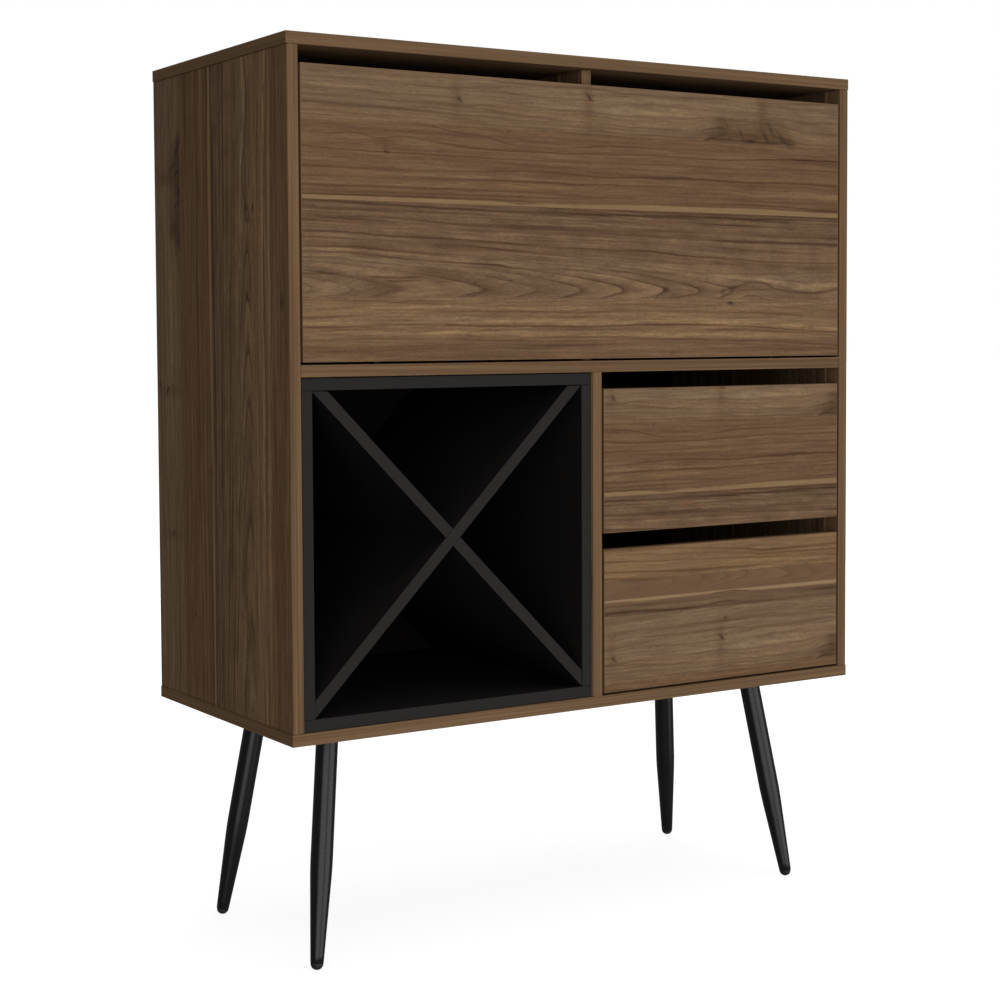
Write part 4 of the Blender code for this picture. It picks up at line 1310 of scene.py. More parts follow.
@dataclass
class Board:
    """A faced chipboard board with banded edges.

    Its shape is its CAD solid's, with the edges eased and the bands set off.
    """

    node: str
    body: str
    cut: Cut
    banded: tuple[Side, ...]
    slot: str = "walnut_board"
    face: Finish = WalnutDecor()
    band: Finish = WalnutEdgeBand()
    core: Finish = RawChipboard()
    edge_radius: float = 0.0005
    band_thickness: float = 0.0008
    least_edge: float = math.radians(30.0)
    seed: float = 0.0
    thin: Point | None = None

    def build(self) -> None:
        """Make the board and hang it on its body."""
        shape = solid_of(self.node)
        low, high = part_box(self.node)
        thin = Vector(self.thin or self.thinnest(high - low))
        self.score_bands(shape, low, high)
        self.ease(shape, low, high)
        sheet = shape.loops.layers.uv.new(SHEET_MAP)
        for face in shape.faces:
            self.dress_face(face, sheet, thin, low, high)
        piece = finished_object("faced_" + self.node, shape, (self.face, self.band, self.core))
        install(piece, self.body, [self.node])

    @staticmethod
    def thinnest(size: Vector) -> Point:
        """Direction of the axis that a board of this size is thinnest along."""
        axis = min(range(3), key=lambda i: size[i])
        return tuple(float(i == axis) for i in range(3))

    def score_bands(self, shape: bmesh.types.BMesh, low: Vector, high: Vector) -> None:
        """Cut the faces along the inner edge of each band.

        Args:
            shape: the board.
            low: its lowest corner.
            high: its highest corner.
        """
        for side in self.banded:
            normal = Vector(side.value)
            corner = high if sum(side.value) > 0 else low
            place = normal * (corner.dot(normal) - self.band_thickness)
            bmesh.ops.bisect_plane(shape, geom=shape.verts[:] + shape.edges[:] + shape.faces[:],
                                   plane_co=place, plane_no=normal)

    def ease(self, shape: bmesh.types.BMesh, low: Vector, high: Vector) -> None:
        """Round the board's outer edges a little.

        Args:
            shape: the board.
            low: its lowest corner.
            high: its highest corner.
        """
        outer = []
        for edge in shape.edges:
            if len(edge.link_faces) != 2 or edge.calc_face_angle() < self.least_edge:
                continue
            if self.thin is None:
                levels = [(axis, level) for axis in range(3) for level in (low[axis], high[axis])]
                planes = sum(all(abs(vert.co[axis] - level) < NEAR for vert in edge.verts)
                             for axis, level in levels)
                if planes >= 2:
                    outer.append(edge)
            elif edge.is_convex:
                outer.append(edge)
        for face in round_edges(shape, outer, self.edge_radius):
            face.smooth = True

    def dress_face(self, face: bmesh.types.BMFace, sheet: bmesh.types.BMLayerItem, thin: Vector,
                   low: Vector, high: Vector) -> None:
        """Give a face its material and its place on the sheet.

        Args:
            face: the face.
            sheet: the map that holds places on the sheet.
            thin: direction that the board is thin along.
            low: the board's lowest corner.
            high: the board's highest corner.
        """
        centre = face.calc_center_median()
        surface = Surface.FACE if abs(face.normal.dot(thin)) > 0.9 else Surface.CORE
        run = Vector()
        for side in Side:
            normal = Vector(side.value)
            if abs(normal.dot(thin)) > 0.5:
                continue
            corner = high if sum(side.value) > 0 else low
            depth = corner.dot(normal) - centre.dot(normal)
            if side in self.banded and depth < self.band_thickness:
                surface = Surface.BAND
                run = normal.cross(thin)
        if surface is Surface.FACE and self.thin is None:
            level = centre.dot(thin)
            deep = min(abs(level - low.dot(thin)), abs(level - high.dot(thin)))
            if deep > 2 * self.edge_radius:
                surface = Surface.CORE
        face.material_index = surface
        for loop in face.loops:
            point = loop.vert.co
            if surface is Surface.BAND:
                level = point.dot(thin) - low.dot(thin)
                loop[sheet].uv = (point.dot(run) + self.seed, level + self.seed)
            else:
                loop[sheet].uv = self.cut.place(point)


@dataclass
class Fitting:
    """A small rigid fitting whose shape is its CAD solid's, with eased edges."""

    node: str
    body: str
    slot: str
    finish: Finish
    edge_radius: float = 0.0002
    second: Finish | None = None
    is_second: Callable[[Vector], bool] | None = None
    least_edge: float = math.radians(40.0)
    shaded_edge: float = math.radians(30.0)

    def build(self) -> None:
        """Make the fitting and hang it on its body."""
        shape = solid_of(self.node)
        sharp = [edge for edge in shape.edges if len(edge.link_faces) == 2
                 and edge.calc_face_angle() > self.least_edge and edge.is_convex]
        round_edges(shape, sharp, self.edge_radius)
        for face in shape.faces:
            face.smooth = len(face.verts) <= 4
            if self.is_second and self.is_second(face.calc_center_median()):
                face.material_index = 1
        finishes = [self.finish] + ([self.second] if self.second else [])
        piece = finished_object("fine_" + self.node, shape, finishes)
        piece.data.set_sharp_from_angle(angle=self.shaded_edge)
        install(piece, self.body, [self.node])


# Repeated fasteners, by geometry nodes


@dataclass(frozen=True)
class Seat:
    """Where one fastener sits and the direction that its head looks in."""

    place: Point
    facing: Point


@dataclass
class FastenerHeads:
    """Heads of screws, nails or caps set at seats on one body."""

    name: str
    body: str
    slot: str | None
    finish: Finish
    seats: list[Seat]
    radius: float
    height: float
    recess: float = 0.0
    segments: int = 28
    tree: ClassVar[bpy.types.NodeTree | None] = None
    SEED: ClassVar[int] = 3
    RINGS: ClassVar[int] = 14
    BLADE_REACH: ClassVar[float] = 1.25
    BLADE_LIFT: ClassVar[float] = 1.05
    LEAST_RECESS: ClassVar[float] = 1e-4
    SHADED_EDGE: ClassVar[float] = math.radians(35.0)

    @classmethod
    def node_tree(cls) -> bpy.types.NodeTree:
        """Make the shared tree at its first use: one domed head, set at each seat with its own turn.

        Returns:
            The tree.
        """
        if cls.tree is not None:
            return cls.tree
        tree = bpy.data.node_groups.new("fastener_heads", "GeometryNodeTree")
        tree.is_modifier = True
        for name, kind in (("Seats", "Geometry"), ("Radius", "Float"), ("Height", "Float"),
                           ("Recess", "Float"), ("Segments", "Int"), ("Crossed", "Bool"),
                           ("Finish", "Material")):
            tree.interface.new_socket(name=name, in_out="INPUT", socket_type="NodeSocket" + kind)
        tree.interface.new_socket(name="Heads", in_out="OUTPUT", socket_type="NodeSocketGeometry")
        graph = Graph(tree)
        given = graph.add("NodeGroupInput").outputs
        head = cls.head(graph, given)
        facing = graph.add("GeometryNodeInputNamedAttribute", {"Name": "facing"}, data_type="FLOAT_VECTOR")
        aligned = graph.add("FunctionNodeAlignRotationToVector", {"Vector": facing.outputs[0]}, axis="Z")
        chance = graph.add("FunctionNodeRandomValue", {"Seed": cls.SEED}, data_type="FLOAT")
        for socket in chance.inputs:
            if socket.name == "Max" and socket.type == "VALUE":
                socket.default_value = math.tau
        angle = next(out for out in chance.outputs if out.type == "VALUE" and out.enabled)
        turn = graph.add("FunctionNodeAxisAngleToRotation", {"Axis": (0.0, 0.0, 1.0), "Angle": angle})
        turned = graph.add("FunctionNodeRotateRotation", {0: aligned.outputs[0], 1: turn.outputs[0]},
                           rotation_space="LOCAL")
        placed = graph.add("GeometryNodeInstanceOnPoints",
                           {"Points": given["Seats"], "Instance": head, "Rotation": turned.outputs[0]})
        real = graph.add("GeometryNodeRealizeInstances", {0: placed.outputs[0]})
        smooth = graph.add("GeometryNodeSetShadeSmooth", {"Geometry": real.outputs[0], "Shade Smooth": True})
        done = graph.add("GeometryNodeSetMaterial",
                         {"Geometry": smooth.outputs[0], "Material": given["Finish"]})
        graph.add("NodeGroupOutput", {0: done.outputs[0]})
        cls.tree = tree
        return tree

    @classmethod
    def head(cls, graph: Graph, given: bpy.types.NodeOutputs) -> bpy.types.NodeSocket:
        """Write one domed head, with a cross recess if it is asked for.

        Args:
            graph: the shared tree's graph.
            given: the tree's inputs.

        Returns:
            The head's geometry.
        """
        radius, height, recess = (Field(graph, given[name]) for name in ("Radius", "Height", "Recess"))
        ball = graph.add("GeometryNodeMeshUVSphere",
                         {"Segments": given["Segments"], "Rings": cls.RINGS, "Radius": 1.0})
        flat = graph.vector(radius, radius, height)
        dome = graph.add("GeometryNodeTransform", {"Geometry": ball.outputs[0], "Scale": flat})
        blade_size = graph.vector(radius * cls.BLADE_REACH, recess, height)
        blade = graph.add("GeometryNodeMeshCube", {"Size": blade_size})
        lift = graph.vector(0.0, 0.0, height * cls.BLADE_LIFT)
        first = graph.add("GeometryNodeTransform", {"Geometry": blade.outputs[0], "Translation": lift})
        quarter = (0.0, 0.0, math.pi / 2)
        second = graph.add("GeometryNodeTransform", {"Geometry": first.outputs[0], "Rotation": quarter})
        cross = graph.add("GeometryNodeMeshBoolean", operation="DIFFERENCE", solver="EXACT")
        graph.feed(cross.inputs["Mesh 1"], dome.outputs[0])
        graph.feed(cross.inputs["Mesh 2"], first.outputs[0])
        graph.feed(cross.inputs["Mesh 2"], second.outputs[0])
        choice = {"Switch": given["Crossed"], "False": dome.outputs[0], "True": cross.outputs[0]}
        return graph.add("GeometryNodeSwitch", choice, input_type="GEOMETRY").outputs[0]

    def build(self) -> None:
        """Set the heads, make them one plain mesh and hang it on its body."""
        mesh = bpy.data.meshes.new(self.name + "_seats")
        mesh.from_pydata([seat.place for seat in self.seats], [], [])
        facing = mesh.attributes.new("facing", "FLOAT_VECTOR", "POINT")
        for item, seat in zip(facing.data, self.seats):
            item.vector = seat.facing
        holder = bpy.data.objects.new(self.name, mesh)
        bpy.context.scene.collection.objects.link(holder)
        modifier = holder.modifiers.new("heads", "NODES")
        tree = self.node_tree()
        modifier.node_group = tree
        values = {"Radius": self.radius, "Height": self.height, "Recess": max(self.recess, self.LEAST_RECESS),
                  "Segments": self.segments, "Crossed": self.recess > 0.0, "Finish": self.finish.material()}
        for item in tree.interface.items_tree:
            if item.item_type == "SOCKET" and item.in_out == "INPUT" and item.name in values:
                modifier[item.identifier] = values[item.name]
        seen = holder.evaluated_get(bpy.context.evaluated_depsgraph_get())
        heads = bpy.data.meshes.new_from_object(seen)
        heads.name = self.name
        holder.modifiers.clear()
        holder.data = heads
        bpy.data.meshes.remove(mesh)
        heads.set_sharp_from_angle(angle=self.SHADED_EDGE)
        install(holder, self.body)


# Sub-assemblies

ALL_SIDES = tuple(Side)
ROUND_THE_FRONT = (Side.FRONT,)
BOTH_SIDES = (("left", 1.0), ("right", -1.0))


@dataclass
class Carcass:
    """Outer boards, shelf, dividers and back board."""

    body: str = "cabinet"
    cap_radius: float = 0.0085
    cap_height: float = 0.0008
    cap_segments: int = 32
    cap_inset: float = 0.034
    cap_front: float = 0.055
    cap_rear: float = 0.330
    screw_radius: float = 0.0035
    screw_height: float = 0.0006
    screw_recess: float = 0.0010
    screw_depths: tuple[float, ...] = (0.045, 0.200, 0.355)

    @staticmethod
    def cuts() -> dict[str, tuple[Cut, tuple[Side, ...]]]:
        """Choose how each board is cut and banded.

        Returns:
            Cut and banded sides of each board, by its node's name.
        """
        up, right, ahead, back, down = (0, 0, 1), (1, 0, 0), (0, -1, 0), (0, 1, 0), (0, 0, -1)
        ends = (Side.FRONT, Side.LEFT, Side.RIGHT)
        return {
            "left_side_panel": (Cut((0, 0, 1.039), ahead, (-0.3283, 0.1803)), ROUND_THE_FRONT),
            "right_side_panel": (Cut(up, back, (-0.240, 0.126)), ROUND_THE_FRONT),
            "top_panel": (Cut(right, ahead, (0.460, 0.170)), ends),
            "bottom_panel": (Cut(right, back, (0.430, 0.120)), ends),
            "middle_shelf": (Cut(right, back, (0.470, 0.060)), ROUND_THE_FRONT),
            "upper_divider": (Cut(up, back, (-0.520, 0.290)), ROUND_THE_FRONT),
            "lower_divider": (Cut(down, back, (0.910, 0.150)), ROUND_THE_FRONT),
        }

    def build(self) -> None:
        """Make the boards, the back and the fittings that show."""
        for index, (node, (cut, banded)) in enumerate(self.cuts().items()):
            Board(node, self.body, cut, banded, seed=0.13 * (index + 1)).build()
        install_pressed("back_panel", self.body, lambda normal: normal.y < -0.5)
        FastenerHeads("cap_covers", self.body, None, BrownCap(), self.cap_seats(), self.cap_radius,
                      self.cap_height, segments=self.cap_segments).build()
        FastenerHeads("joint_screws", self.body, "zinc_steel", ZincPlate(), self.screw_seats(),
                      self.screw_radius, self.screw_height, self.screw_recess).build()

    def cap_seats(self) -> list[Seat]:
        """Place the caps over the joint fittings, inside the compartments.

        Returns:
            Their seats.
        """
        seats = []
        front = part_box("left_side_panel")[0].y
        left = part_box("left_side_panel")[1].x
        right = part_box("right_side_panel")[0].x
        under_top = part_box("top_panel")[0].z - self.cap_inset
        shelf_low, shelf_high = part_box("middle_shelf")
        upper_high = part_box("upper_divider")[1]
        lower_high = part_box("lower_divider")[1]
        for depth in (front + self.cap_front, front + self.cap_rear):
            seats.append(Seat((left, depth, under_top), (1, 0, 0)))
            seats.append(Seat((right, depth, under_top), (-1, 0, 0)))
            for level in (under_top, shelf_high.z + self.cap_inset):
                seats.append(Seat((upper_high.x, depth, level), (1, 0, 0)))
            seats.append(Seat((right - self.cap_inset, depth, shelf_low.z), (0, 0, -1)))
            seats.append(Seat((lower_high.x, depth, shelf_low.z - self.cap_inset), (1, 0, 0)))
        return seats

    def screw_seats(self) -> list[Seat]:
        """Place the long screws under the bottom panel.

        Returns:
            Their seats.
        """
        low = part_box("bottom_panel")[0]
        uprights = ("left_side_panel", "lower_divider", "right_side_panel")
        middles = [sum(corner.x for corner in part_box(node)) / 2 for node in uprights]
        return [Seat((x, low.y + depth, low.z), (0, 0, -1)) for x in middles for depth in self.screw_depths]


@dataclass
class BottleRack:
    """Black insert with its crossed boards."""

    body: str = "cabinet"
    slant: float = math.sqrt(0.5)

    def build(self) -> None:
        """Make the six black boards."""
        up, right, back = (0, 0, 1), (1, 0, 0), (0, 1, 0)
        cuts = {
            "rack_top_board": Cut(right, back, (0.1, 0.0)),
            "rack_bottom_board": Cut(right, back, (0.7, 0.3)),
            "rack_left_board": Cut(up, back, (0.2, 0.6)),
            "rack_right_board": Cut(up, back, (0.5, 0.9)),
        }
        for index, (node, cut) in enumerate(cuts.items()):
            self.build_board(node, cut, 0.21 * (index + 1))
        for node, tilt in (("rack_rising_board", 1.0), ("rack_falling_board", -1.0)):
            cut = Cut((self.slant, 0, tilt * self.slant), back, (0.4, 1.2 + tilt * 0.2))
            self.build_board(node, cut, 0.9 + tilt * 0.2, (-tilt * self.slant, 0, self.slant))

    def build_board(self, node: str, cut: Cut, seed: float, thin: Point | None = None) -> None:
        """Make one black board.

        Args:
            node: the board's node.
            cut: how it is cut from the foil.
            seed: place on the edge band.
            thin: direction that a slanted board is thin along.
        """
        Board(node, self.body, cut, ROUND_THE_FRONT, "black_board", BlackDecor(), BlackEdgeBand(), seed=seed,
              thin=thin).build()


@dataclass
class Flap:
    """Fall-front flap with its hinges, stays and catches."""

    body: str = "flap"
    cut: Cut = Cut((1, 0, 0), (0, 0, -1), (0.432, 1.1235))
    seed: float = 1.3
    screw_radius: float = 0.0025
    screw_height: float = 0.0010
    catch_screw_radius: float = 0.0026
    catch_screw_height: float = 0.0008
    recess: float = 0.0007
    catch_shares: Pair = (0.3, 0.78)
    hinge_reach: float = 0.0085
    hinge_drop: float = 0.0127
    bracket_middle: float = 0.0135
    bracket_reach: float = 0.0055
    bracket_plate: float = 0.0023

    def build(self) -> None:
        """Make the flap board and all that carries or stops it."""
        Board("flap_panel", self.body, self.cut, ALL_SIDES, seed=self.seed).build()
        seats, catch_seats = [], []
        for side, inward in BOTH_SIDES:
            self.build_side(side)
            seats += self.side_seats(side, inward)
            catch_seats += self.catch_seats(side, inward)
        FastenerHeads("flap_screws", self.body, "zinc_steel", ZincPlate(), seats, self.screw_radius,
                      self.screw_height, self.recess).build()
        FastenerHeads("catch_screws", "cabinet", "zinc_steel", ZincPlate(), catch_seats,
                      self.catch_screw_radius, self.catch_screw_height, self.recess).build()

    def build_side(self, side: str) -> None:
        """Make the hinge, the stay and the catch of one side.

        Args:
            side: the side's name.
        """
        zinc = ZincPlate()
        Fitting(side + "_hinge_cup", "cabinet", "zinc_steel", BlackZinc(), 0.0003).build()
        Fitting(side + "_hinge_arm", self.body, "zinc_steel", BlackZinc(), 0.0002).build()
        Fitting(side + "_stay_stud", "cabinet", "zinc_steel", zinc, 0.0002).build()
        Fitting(side + "_stay_bracket", self.body, "zinc_steel", zinc, 0.0002).build()
        Fitting(side + "_stay_arm", side + "_stay_arm", "zinc_steel", zinc, 0.0003).build()
        Fitting(side + "_flap_catch", "cabinet", "foot_plastic", MouldedPlastic(), 0.0008).build()
        Fitting(side + "_catch_plate", self.body, "zinc_steel", zinc, 0.00025).build()

    def side_seats(self, side: str, inward: float) -> list[Seat]:
        """Place the screws of one hinge plate and one stay bracket.

        Args:
            side: the side's name.
            inward: 1 on the left and -1 on the right.

        Returns:
            Their seats.
        """
        low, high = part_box(side + "_hinge_arm")
        middle = (low.x + high.x) / 2
        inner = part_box("flap_panel")[1].y
        seats = [Seat((middle + way * self.hinge_reach, inner, high.z - self.hinge_drop), (0, 1, 0))
                 for way in (-1.0, 1.0)]
        low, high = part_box(side + "_stay_bracket")
        base = low.x + self.bracket_middle if inward > 0 else high.x - self.bracket_middle
        level = (low.z + high.z) / 2
        return seats + [Seat((base + way * self.bracket_reach, inner + self.bracket_plate, level), (0, 1, 0))
                        for way in (-1.0, 1.0)]

    def catch_seats(self, side: str, inward: float) -> list[Seat]:
        """Place the screws of one catch.

        Args:
            side: the side's name.
            inward: 1 on the left and -1 on the right.

        Returns:
            Their seats.
        """
        low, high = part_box(side + "_flap_catch")
        face = high.x if inward > 0 else low.x
        level = (low.z + high.z) / 2
        return [Seat((face, low.y + share * (high.y - low.y), level), (inward, 0, 0))
                for share in self.catch_shares]


@dataclass
class Drawer:
    """One drawer: inset front, box, bottom and both halves of its slides."""

    body: str
    front_cut: Cut
    seed: float
    recess: float = 0.0007
    screw_radius: float = 0.0028
    rail_screw_height: float = 0.0010
    box_screw_height: float = 0.0009
    rail_screw_level: float = 0.0235
    cabinet_shares: tuple[float, ...] = (0.14, 0.5, 0.88)
    drawer_shares: tuple[float, ...] = (0.1, 0.5, 0.85)
    rail_plate: float = 0.0012
    rail_foot_middle: float = 0.005
    rail_foot_gap: float = 0.0002
    cap_radius: float = 0.0085
    cap_height: float = 0.0008
    cap_inset: float = 0.034
    box_low: float = 0.035
    box_high: float = 0.030
    nail_radius: float = 0.0013
    nail_height: float = 0.0003
    nail_side_inset: float = 0.0175
    rear_inset: float = 0.006
    nail_rows: int = 6
    wheel_radius: float = 0.0075
    wheel_inset: float = 0.010
    wheel_gap: float = 0.0005

    def build(self) -> None:
        """Make the drawer's boards, slides, nails and screws."""
        name = self.body
        Board(name + "_front", name, self.front_cut, ALL_SIDES, seed=self.seed).build()
        up, right, back = (0, 0, 1), (1, 0, 0), (0, 1, 0)
        foil = DrawerFoil()
        for part, cut in (("_left_side", Cut(back, up, (self.seed, 0.1))),
                          ("_right_side", Cut(back, up, (self.seed + 0.7, 0.4))),
                          ("_back", Cut(right, up, (self.seed, 0.9)))):
            Board(name + part, name, cut, (Side.TOP, Side.BACK), "drawer_board", foil, foil,
                  seed=self.seed + 0.3).build()
        install_pressed(name + "_bottom", name, lambda normal: normal.z > 0.5)
        self.build_slides()
        self.build_screws()
        self.build_caps_and_nails()

    def build_slides(self) -> None:
        """Make the rails, with their rollers set off in nylon."""
        for side, _ in BOTH_SIDES:
            for part, body in (("cabinet_rail", "cabinet"), ("drawer_rail", self.body)):
                node = f"{self.body}_{side}_{part}"
                Fitting(node, body, "rail_steel", ZincPlate(), 0.0001, Nylon(),
                        self.roller_test(node)).build()

    def roller_test(self, node: str) -> Callable[[Vector], bool]:
        """Test of whether a point of a rail is on its roller.

        Args:
            node: the rail's node.

        Returns:
            A function of a point.
        """
        low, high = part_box(node)
        fixed = "cabinet_rail" in node
        rail_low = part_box(f"{self.body}_left_cabinet_rail")[0].z
        wheel_y = low.y + self.wheel_inset if fixed else high.y - self.wheel_inset
        wheel_z = rail_low + self.rail_plate + self.wheel_gap + self.wheel_radius
        web = low.x if fixed == ("left" in node) else high.x
        hub, rim = (-1.0 if fixed else 0.0023), self.wheel_radius + 0.0003
        face = 0.00125 if fixed else 0.0117
        lowest = rail_low + 0.0014 if fixed else -1.0

        def on_roller(point: Vector) -> bool:
            """Whether a point is on the roller's rim or faces."""
            reach = math.hypot(point.y - wheel_y, point.z - wheel_z)
            return hub < reach < rim and abs(point.x - web) > face and point.z > lowest

        return on_roller

    def build_screws(self) -> None:
        """Make the screws of the slides and of the box."""
        name = self.body
        cabinet_seats, drawer_seats = [], []
        for side, inward in BOTH_SIDES:
            low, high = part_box(f"{name}_{side}_cabinet_rail")
            web = low.x + self.rail_plate if inward > 0 else high.x - self.rail_plate
            level = low.z + self.rail_screw_level
            for share in self.cabinet_shares:
                cabinet_seats.append(Seat((web, low.y + share * (high.y - low.y), level), (inward, 0, 0)))
            low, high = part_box(f"{name}_{side}_drawer_rail")
            foot = high.x - self.rail_foot_middle if inward > 0 else low.x + self.rail_foot_middle
            level = low.z + self.rail_foot_gap
            for share in self.drawer_shares:
                drawer_seats.append(Seat((foot, low.y + share * (high.y - low.y), level), (0, 0, -1)))
            low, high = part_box(f"{name}_{side}_side")
            outer = low.x if inward > 0 else high.x
            for level in (low.z + self.box_low, high.z - self.box_high):
                drawer_seats.append(Seat((outer, high.y - self.rear_inset, level), (-inward, 0, 0)))
        zinc = ZincPlate()
        FastenerHeads(name + "_slide_screws", "cabinet", "zinc_steel", zinc, cabinet_seats, self.screw_radius,
                      self.rail_screw_height, self.recess).build()
        FastenerHeads(name + "_box_screws", name, "zinc_steel", zinc, drawer_seats, self.screw_radius,
                      self.box_screw_height, self.recess).build()

    def build_caps_and_nails(self) -> None:
        """Make the caps inside the box and the nails of its bottom."""
        name = self.body
        caps, nails = [], []
        for side, inward in BOTH_SIDES:
            low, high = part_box(f"{name}_{side}_side")
            inner = high.x if inward > 0 else low.x
            for level in (low.z + self.box_low, high.z - self.box_high):
                caps.append(Seat((inner, low.y + self.cap_inset, level), (inward, 0, 0)))
        low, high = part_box(name + "_bottom")
        for i in range(self.nail_rows):
            place = low + (high - low) * ((i + 0.5) / self.nail_rows)
            for x in (low.x + self.nail_side_inset, high.x - self.nail_side_inset):
                nails.append(Seat((x, place.y, low.z), (0, 0, -1)))
            nails.append(Seat((place.x, high.y - self.rear_inset, low.z), (0, 0, -1)))
        FastenerHeads(name + "_caps", name, None, BrownCap(), caps, self.cap_radius, self.cap_height,
                      segments=32).build()
        FastenerHeads(name + "_nails", name, "zinc_steel", ZincPlate(), nails, self.nail_radius,
                      self.nail_height, segments=12).build()


@dataclass
class Leg:
    """Splayed tapered leg with its plate and domed foot."""

    name: str
    top: Pair = (0.3495, 0.0995)
    foot: Pair = (0.3905, 0.1405)
    height: float = 0.300
    radius: float = 0.0143
    end_radius: float = 0.0085
    foot_flat: float = 0.003
    knee_share: float = 0.59
    knee_blend: float = 0.05
    seam_gap: float = 0.0003
    seam_length: float = 0.0004
    seam_depth: float = 0.00035
    segments: int = 96
    straight_rows: int = 9
    knee_rows: int = 12
    taper_rows: int = 10
    shaded_edge: float = math.radians(40.0)
    screw_reach: float = 0.0265
    screw_radius: float = 0.0035
    screw_height: float = 0.0012
    screw_recess: float = 0.0009

    def build(self) -> None:
        """Make the tube, the foot, the plate and its screws."""
        self.build_tube()
        Fitting(self.name + "_leg_foot", "cabinet", "foot_plastic", MouldedPlastic(), 0.0002).build()
        Fitting(self.name + "_leg_plate", "cabinet", "leg_plate_steel", SatinBlack(), 0.0004).build()
        low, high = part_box(self.name + "_leg_plate")
        middle = (low + high) / 2
        seats = [Seat((middle.x + sx * self.screw_reach, middle.y + sy * self.screw_reach, low.z), (0, 0, -1))
                 for sx in (-1, 1) for sy in (-1, 1)]
        FastenerHeads(self.name + "_leg_screws", "cabinet", "zinc_steel", ZincPlate(), seats,
                      self.screw_radius, self.screw_height, self.screw_recess).build()

    def build_tube(self) -> None:
        """Make the smooth tube along the line of its CAD solid."""
        node = self.name + "_leg_tube"
        shape = bmesh.new()
        grid = [[shape.verts.new(point) for point in row] for row in self.rows(node)]
        for lower, upper in zip(grid, grid[1:]):
            for i in range(self.segments):
                j = (i + 1) % self.segments
                shape.faces.new((lower[i], lower[j], upper[j], upper[i])).smooth = True
        shape.faces.new(grid[0])
        shape.faces.new(grid[-1])
        bmesh.ops.recalc_face_normals(shape, faces=shape.faces)
        piece = finished_object("turned_" + node, shape, (SatinBlack(),))
        piece.data.set_sharp_from_angle(angle=self.shaded_edge)
        install(piece, "cabinet", [node])

    def rows(self, node: str) -> list[list[Vector]]:
        """Work out the rings of points that the tube is made of, from its top down.

        Args:
            node: the tube's node.

        Returns:
            The rings.
        """
        left = -1.0 if "left" in self.name else 1.0
        front = -1.0 if "front" in self.name else 1.0
        top = Vector((left * self.top[0], front * self.top[1], self.height))
        foot = Vector((left * self.foot[0], front * self.foot[1], 0.0))
        axis = (foot - top).normalized()
        length = (foot - top).length
        first = axis.cross(Vector((0.0, 1.0, 0.0))).normalized()
        second = axis.cross(first).normalized()
        rise = math.sqrt(self.end_radius ** 2 - self.foot_flat ** 2)
        centre = foot - axis * (rise / abs(axis.z))
        end_share = (centre - top).length / length
        taper = (self.radius - self.end_radius) / (end_share - self.knee_share)

        def ring(middle: Vector, radius: float) -> list[Vector]:
            """Points of the tube round one place on its line."""
            turns = [math.tau * i / self.segments for i in range(self.segments)]
            return [middle + radius * (math.cos(a) * first + math.sin(a) * second) for a in turns]

        top_level = max(vert.co.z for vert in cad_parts[node].data.vertices)
        rows = [[p + axis * ((top_level - p.z) / axis.z) for p in ring(top, self.radius)]]
        straight = length * (self.knee_share - self.knee_blend)
        for i in range(1, self.straight_rows):
            rows.append(ring(top + axis * (straight * i / self.straight_rows), self.radius))
        for i in range(self.knee_rows + 1):
            over = i / self.knee_rows
            share = self.knee_share + self.knee_blend * (2 * over - 1)
            radius = self.radius - taper * self.knee_blend * over * over
            rows.append(ring(top + axis * (length * share), radius))
        last_share = self.knee_share + self.knee_blend
        last_radius = self.radius - taper * self.knee_blend
        seam = centre - axis * self.seam_gap
        seam_share = (seam - top).length / length
        for i in range(1, self.taper_rows):
            over = i / self.taper_rows
            share = last_share + (seam_share - last_share) * over
            radius = last_radius + (self.end_radius - last_radius) * over
            rows.append(ring(top + axis * (length * share), radius))
        rows.append(ring(seam - axis * self.seam_length, self.end_radius))
        rows.append(ring(seam, self.end_radius - self.seam_depth))
        return rows


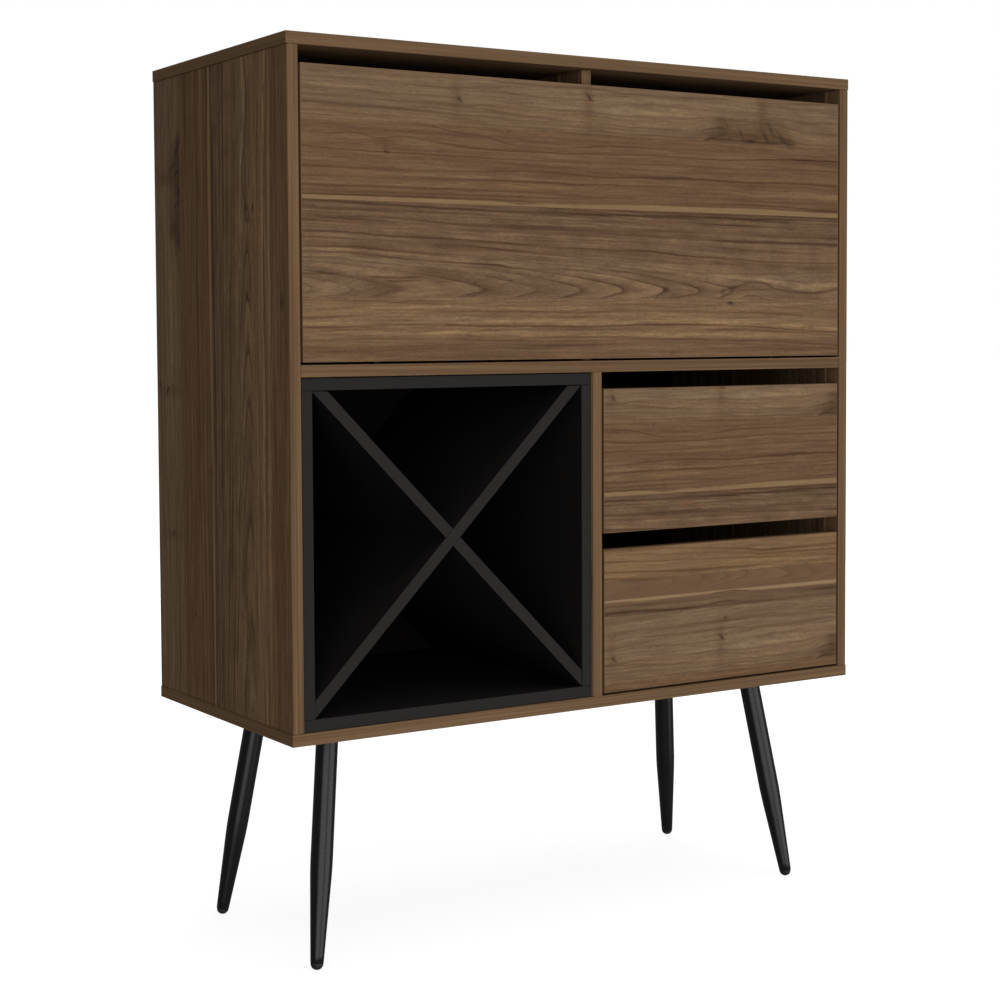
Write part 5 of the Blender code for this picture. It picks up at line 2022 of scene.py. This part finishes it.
@dataclass
class Studio:
    """Pale floor, soft lights and the camera at the photograph's angle."""

    eye: Point = (-1.49065, -2.24023, 0.79443)
    pitch: float = 0.0597311
    yaw: float = -0.5498859
    roll: float = -0.0378088
    focal_px: float = 1906.4
    centre_px: Pair = (441.103, 434.73)
    image_px: int = 1000
    sensor: float = 36.0
    clips: Pair = (0.05, 200.0)
    softbox_turn: float = 30.5
    softbox_distance: float = 3.6
    softbox_height: float = 0.6
    softbox_size: Pair = (3.5, 3.8)
    softbox_power: float = 70.5
    rear_place: Point = (2.0, 3.2, 1.3)
    rear_aim: Point = (0.0, 0.0, 0.6)
    rear_size: Pair = (3.4, 2.6)
    rear_power: float = 60.0
    sun_power: float = 1.1
    sun_spread: float = math.radians(70.0)
    sun_tilt: Pair = (math.radians(8.0), math.radians(6.0))
    floor_half: float = 40.0
    ambient: Colour = (0.145, 0.145, 0.145)
    white: Colour = (1.0, 1.0, 1.0)

    def build(self) -> None:
        """Set up the floor, the lights, the background and the camera."""
        scene = bpy.context.scene
        scene.view_settings.view_transform = "Standard"
        scene.view_settings.look = "None"
        self.build_floor()
        self.build_world(scene)
        for name, turn in (("left_softbox", -self.softbox_turn), ("right_softbox", self.softbox_turn)):
            way = math.radians(turn)
            place = (self.softbox_distance * math.sin(way), -self.softbox_distance * math.cos(way),
                     self.softbox_height)
            aim = (0.0, 0.0, self.softbox_height)
            self.add_area(name, place, aim, self.softbox_size, self.softbox_power)
        self.add_area("rear_light", self.rear_place, self.rear_aim, self.rear_size, self.rear_power)
        sun = bpy.data.lights.new("top_light", "SUN")
        sun.energy = self.sun_power
        sun.angle = self.sun_spread
        lamp = bpy.data.objects.new("top_light", sun)
        lamp.rotation_euler = (*self.sun_tilt, 0.0)
        scene.collection.objects.link(lamp)
        self.build_camera(scene)

    def build_floor(self) -> None:
        """Make the plain floor, which shows but neither lights nor shades the cabinet."""
        shape = bmesh.new()
        bmesh.ops.create_grid(shape, x_segments=1, y_segments=1, size=self.floor_half)
        floor = finished_object("floor", shape, (StudioFloor(),))
        for kind in ("diffuse", "glossy", "shadow"):
            setattr(floor, "visible_" + kind, False)

    def build_world(self, scene: bpy.types.Scene) -> None:
        """Make a white background that lights the scene only a little.

        Args:
            scene: the scene that gets it.
        """
        world = bpy.data.worlds.new("studio")
        scene.world = world
        world.use_nodes = True
        graph = Graph(world.node_tree)
        ray = Field(graph, graph.add("ShaderNodeLightPath").outputs["Is Camera Ray"])
        colour = graph.mix(ray, self.ambient, self.white)
        graph.feed(world.node_tree.nodes["Background"].inputs["Color"], colour)

    @staticmethod
    def add_area(name: str, place: Point, aim: Point, size: Pair, power: float) -> None:
        """Add a soft rectangular light.

        Args:
            name: the light's name.
            place: where it stands.
            aim: the point that it looks at.
            size: its width and height.
            power: its power in watts.
        """
        light = bpy.data.lights.new(name, "AREA")
        light.shape = "RECTANGLE"
        light.size, light.size_y = size
        light.energy = power
        lamp = bpy.data.objects.new(name, light)
        way = Vector(aim) - Vector(place)
        lamp.matrix_world = Matrix.Translation(place) @ way.to_track_quat("-Z", "Y").to_matrix().to_4x4()
        bpy.context.scene.collection.objects.link(lamp)

    def build_camera(self, scene: bpy.types.Scene) -> None:
        """Place the camera where the photograph was taken from.

        Args:
            scene: the scene that looks through it.
        """
        turn_x = Matrix.Rotation(self.pitch, 3, "X")
        turn_y = Matrix.Rotation(self.yaw, 3, "Y")
        turn_z = Matrix.Rotation(self.roll, 3, "Z")
        base = Matrix(((1, 0, 0), (0, 0, -1), (0, 1, 0)))
        to_camera = turn_z @ turn_y @ turn_x @ base
        camera = bpy.data.cameras.new("camera")
        camera.sensor_width = self.sensor
        camera.lens = self.focal_px / self.image_px * self.sensor
        camera.shift_x = 0.5 - self.centre_px[0] / self.image_px
        camera.shift_y = self.centre_px[1] / self.image_px - 0.5
        camera.clip_start, camera.clip_end = self.clips
        holder = bpy.data.objects.new("camera", camera)
        axes = Matrix((to_camera[0], -to_camera[1], -to_camera[2])).transposed()
        holder.matrix_world = Matrix.Translation(self.eye) @ axes.to_4x4()
        scene.collection.objects.link(holder)
        scene.camera = holder


def main() -> None:
    """Build the cabinet's looks in order and report each piece."""
    logging.basicConfig(level=logging.INFO, format="%(name)s: %(message)s")
    Carcass().build()
    BottleRack().build()
    Flap().build()
    Drawer("upper_drawer", Cut((1.081, 0, 0), (0, 0, -1), (0.1903, 0.7428)), 2.1).build()
    Drawer("lower_drawer", Cut((1.081, 0, 0), (0, 0, -1), (0.1903, 0.3930)), 3.7).build()
    for name in ("front_left", "front_right", "back_left", "back_right"):
        Leg(name).build()
    Studio().build()


if __name__ == "__main__":
    main()
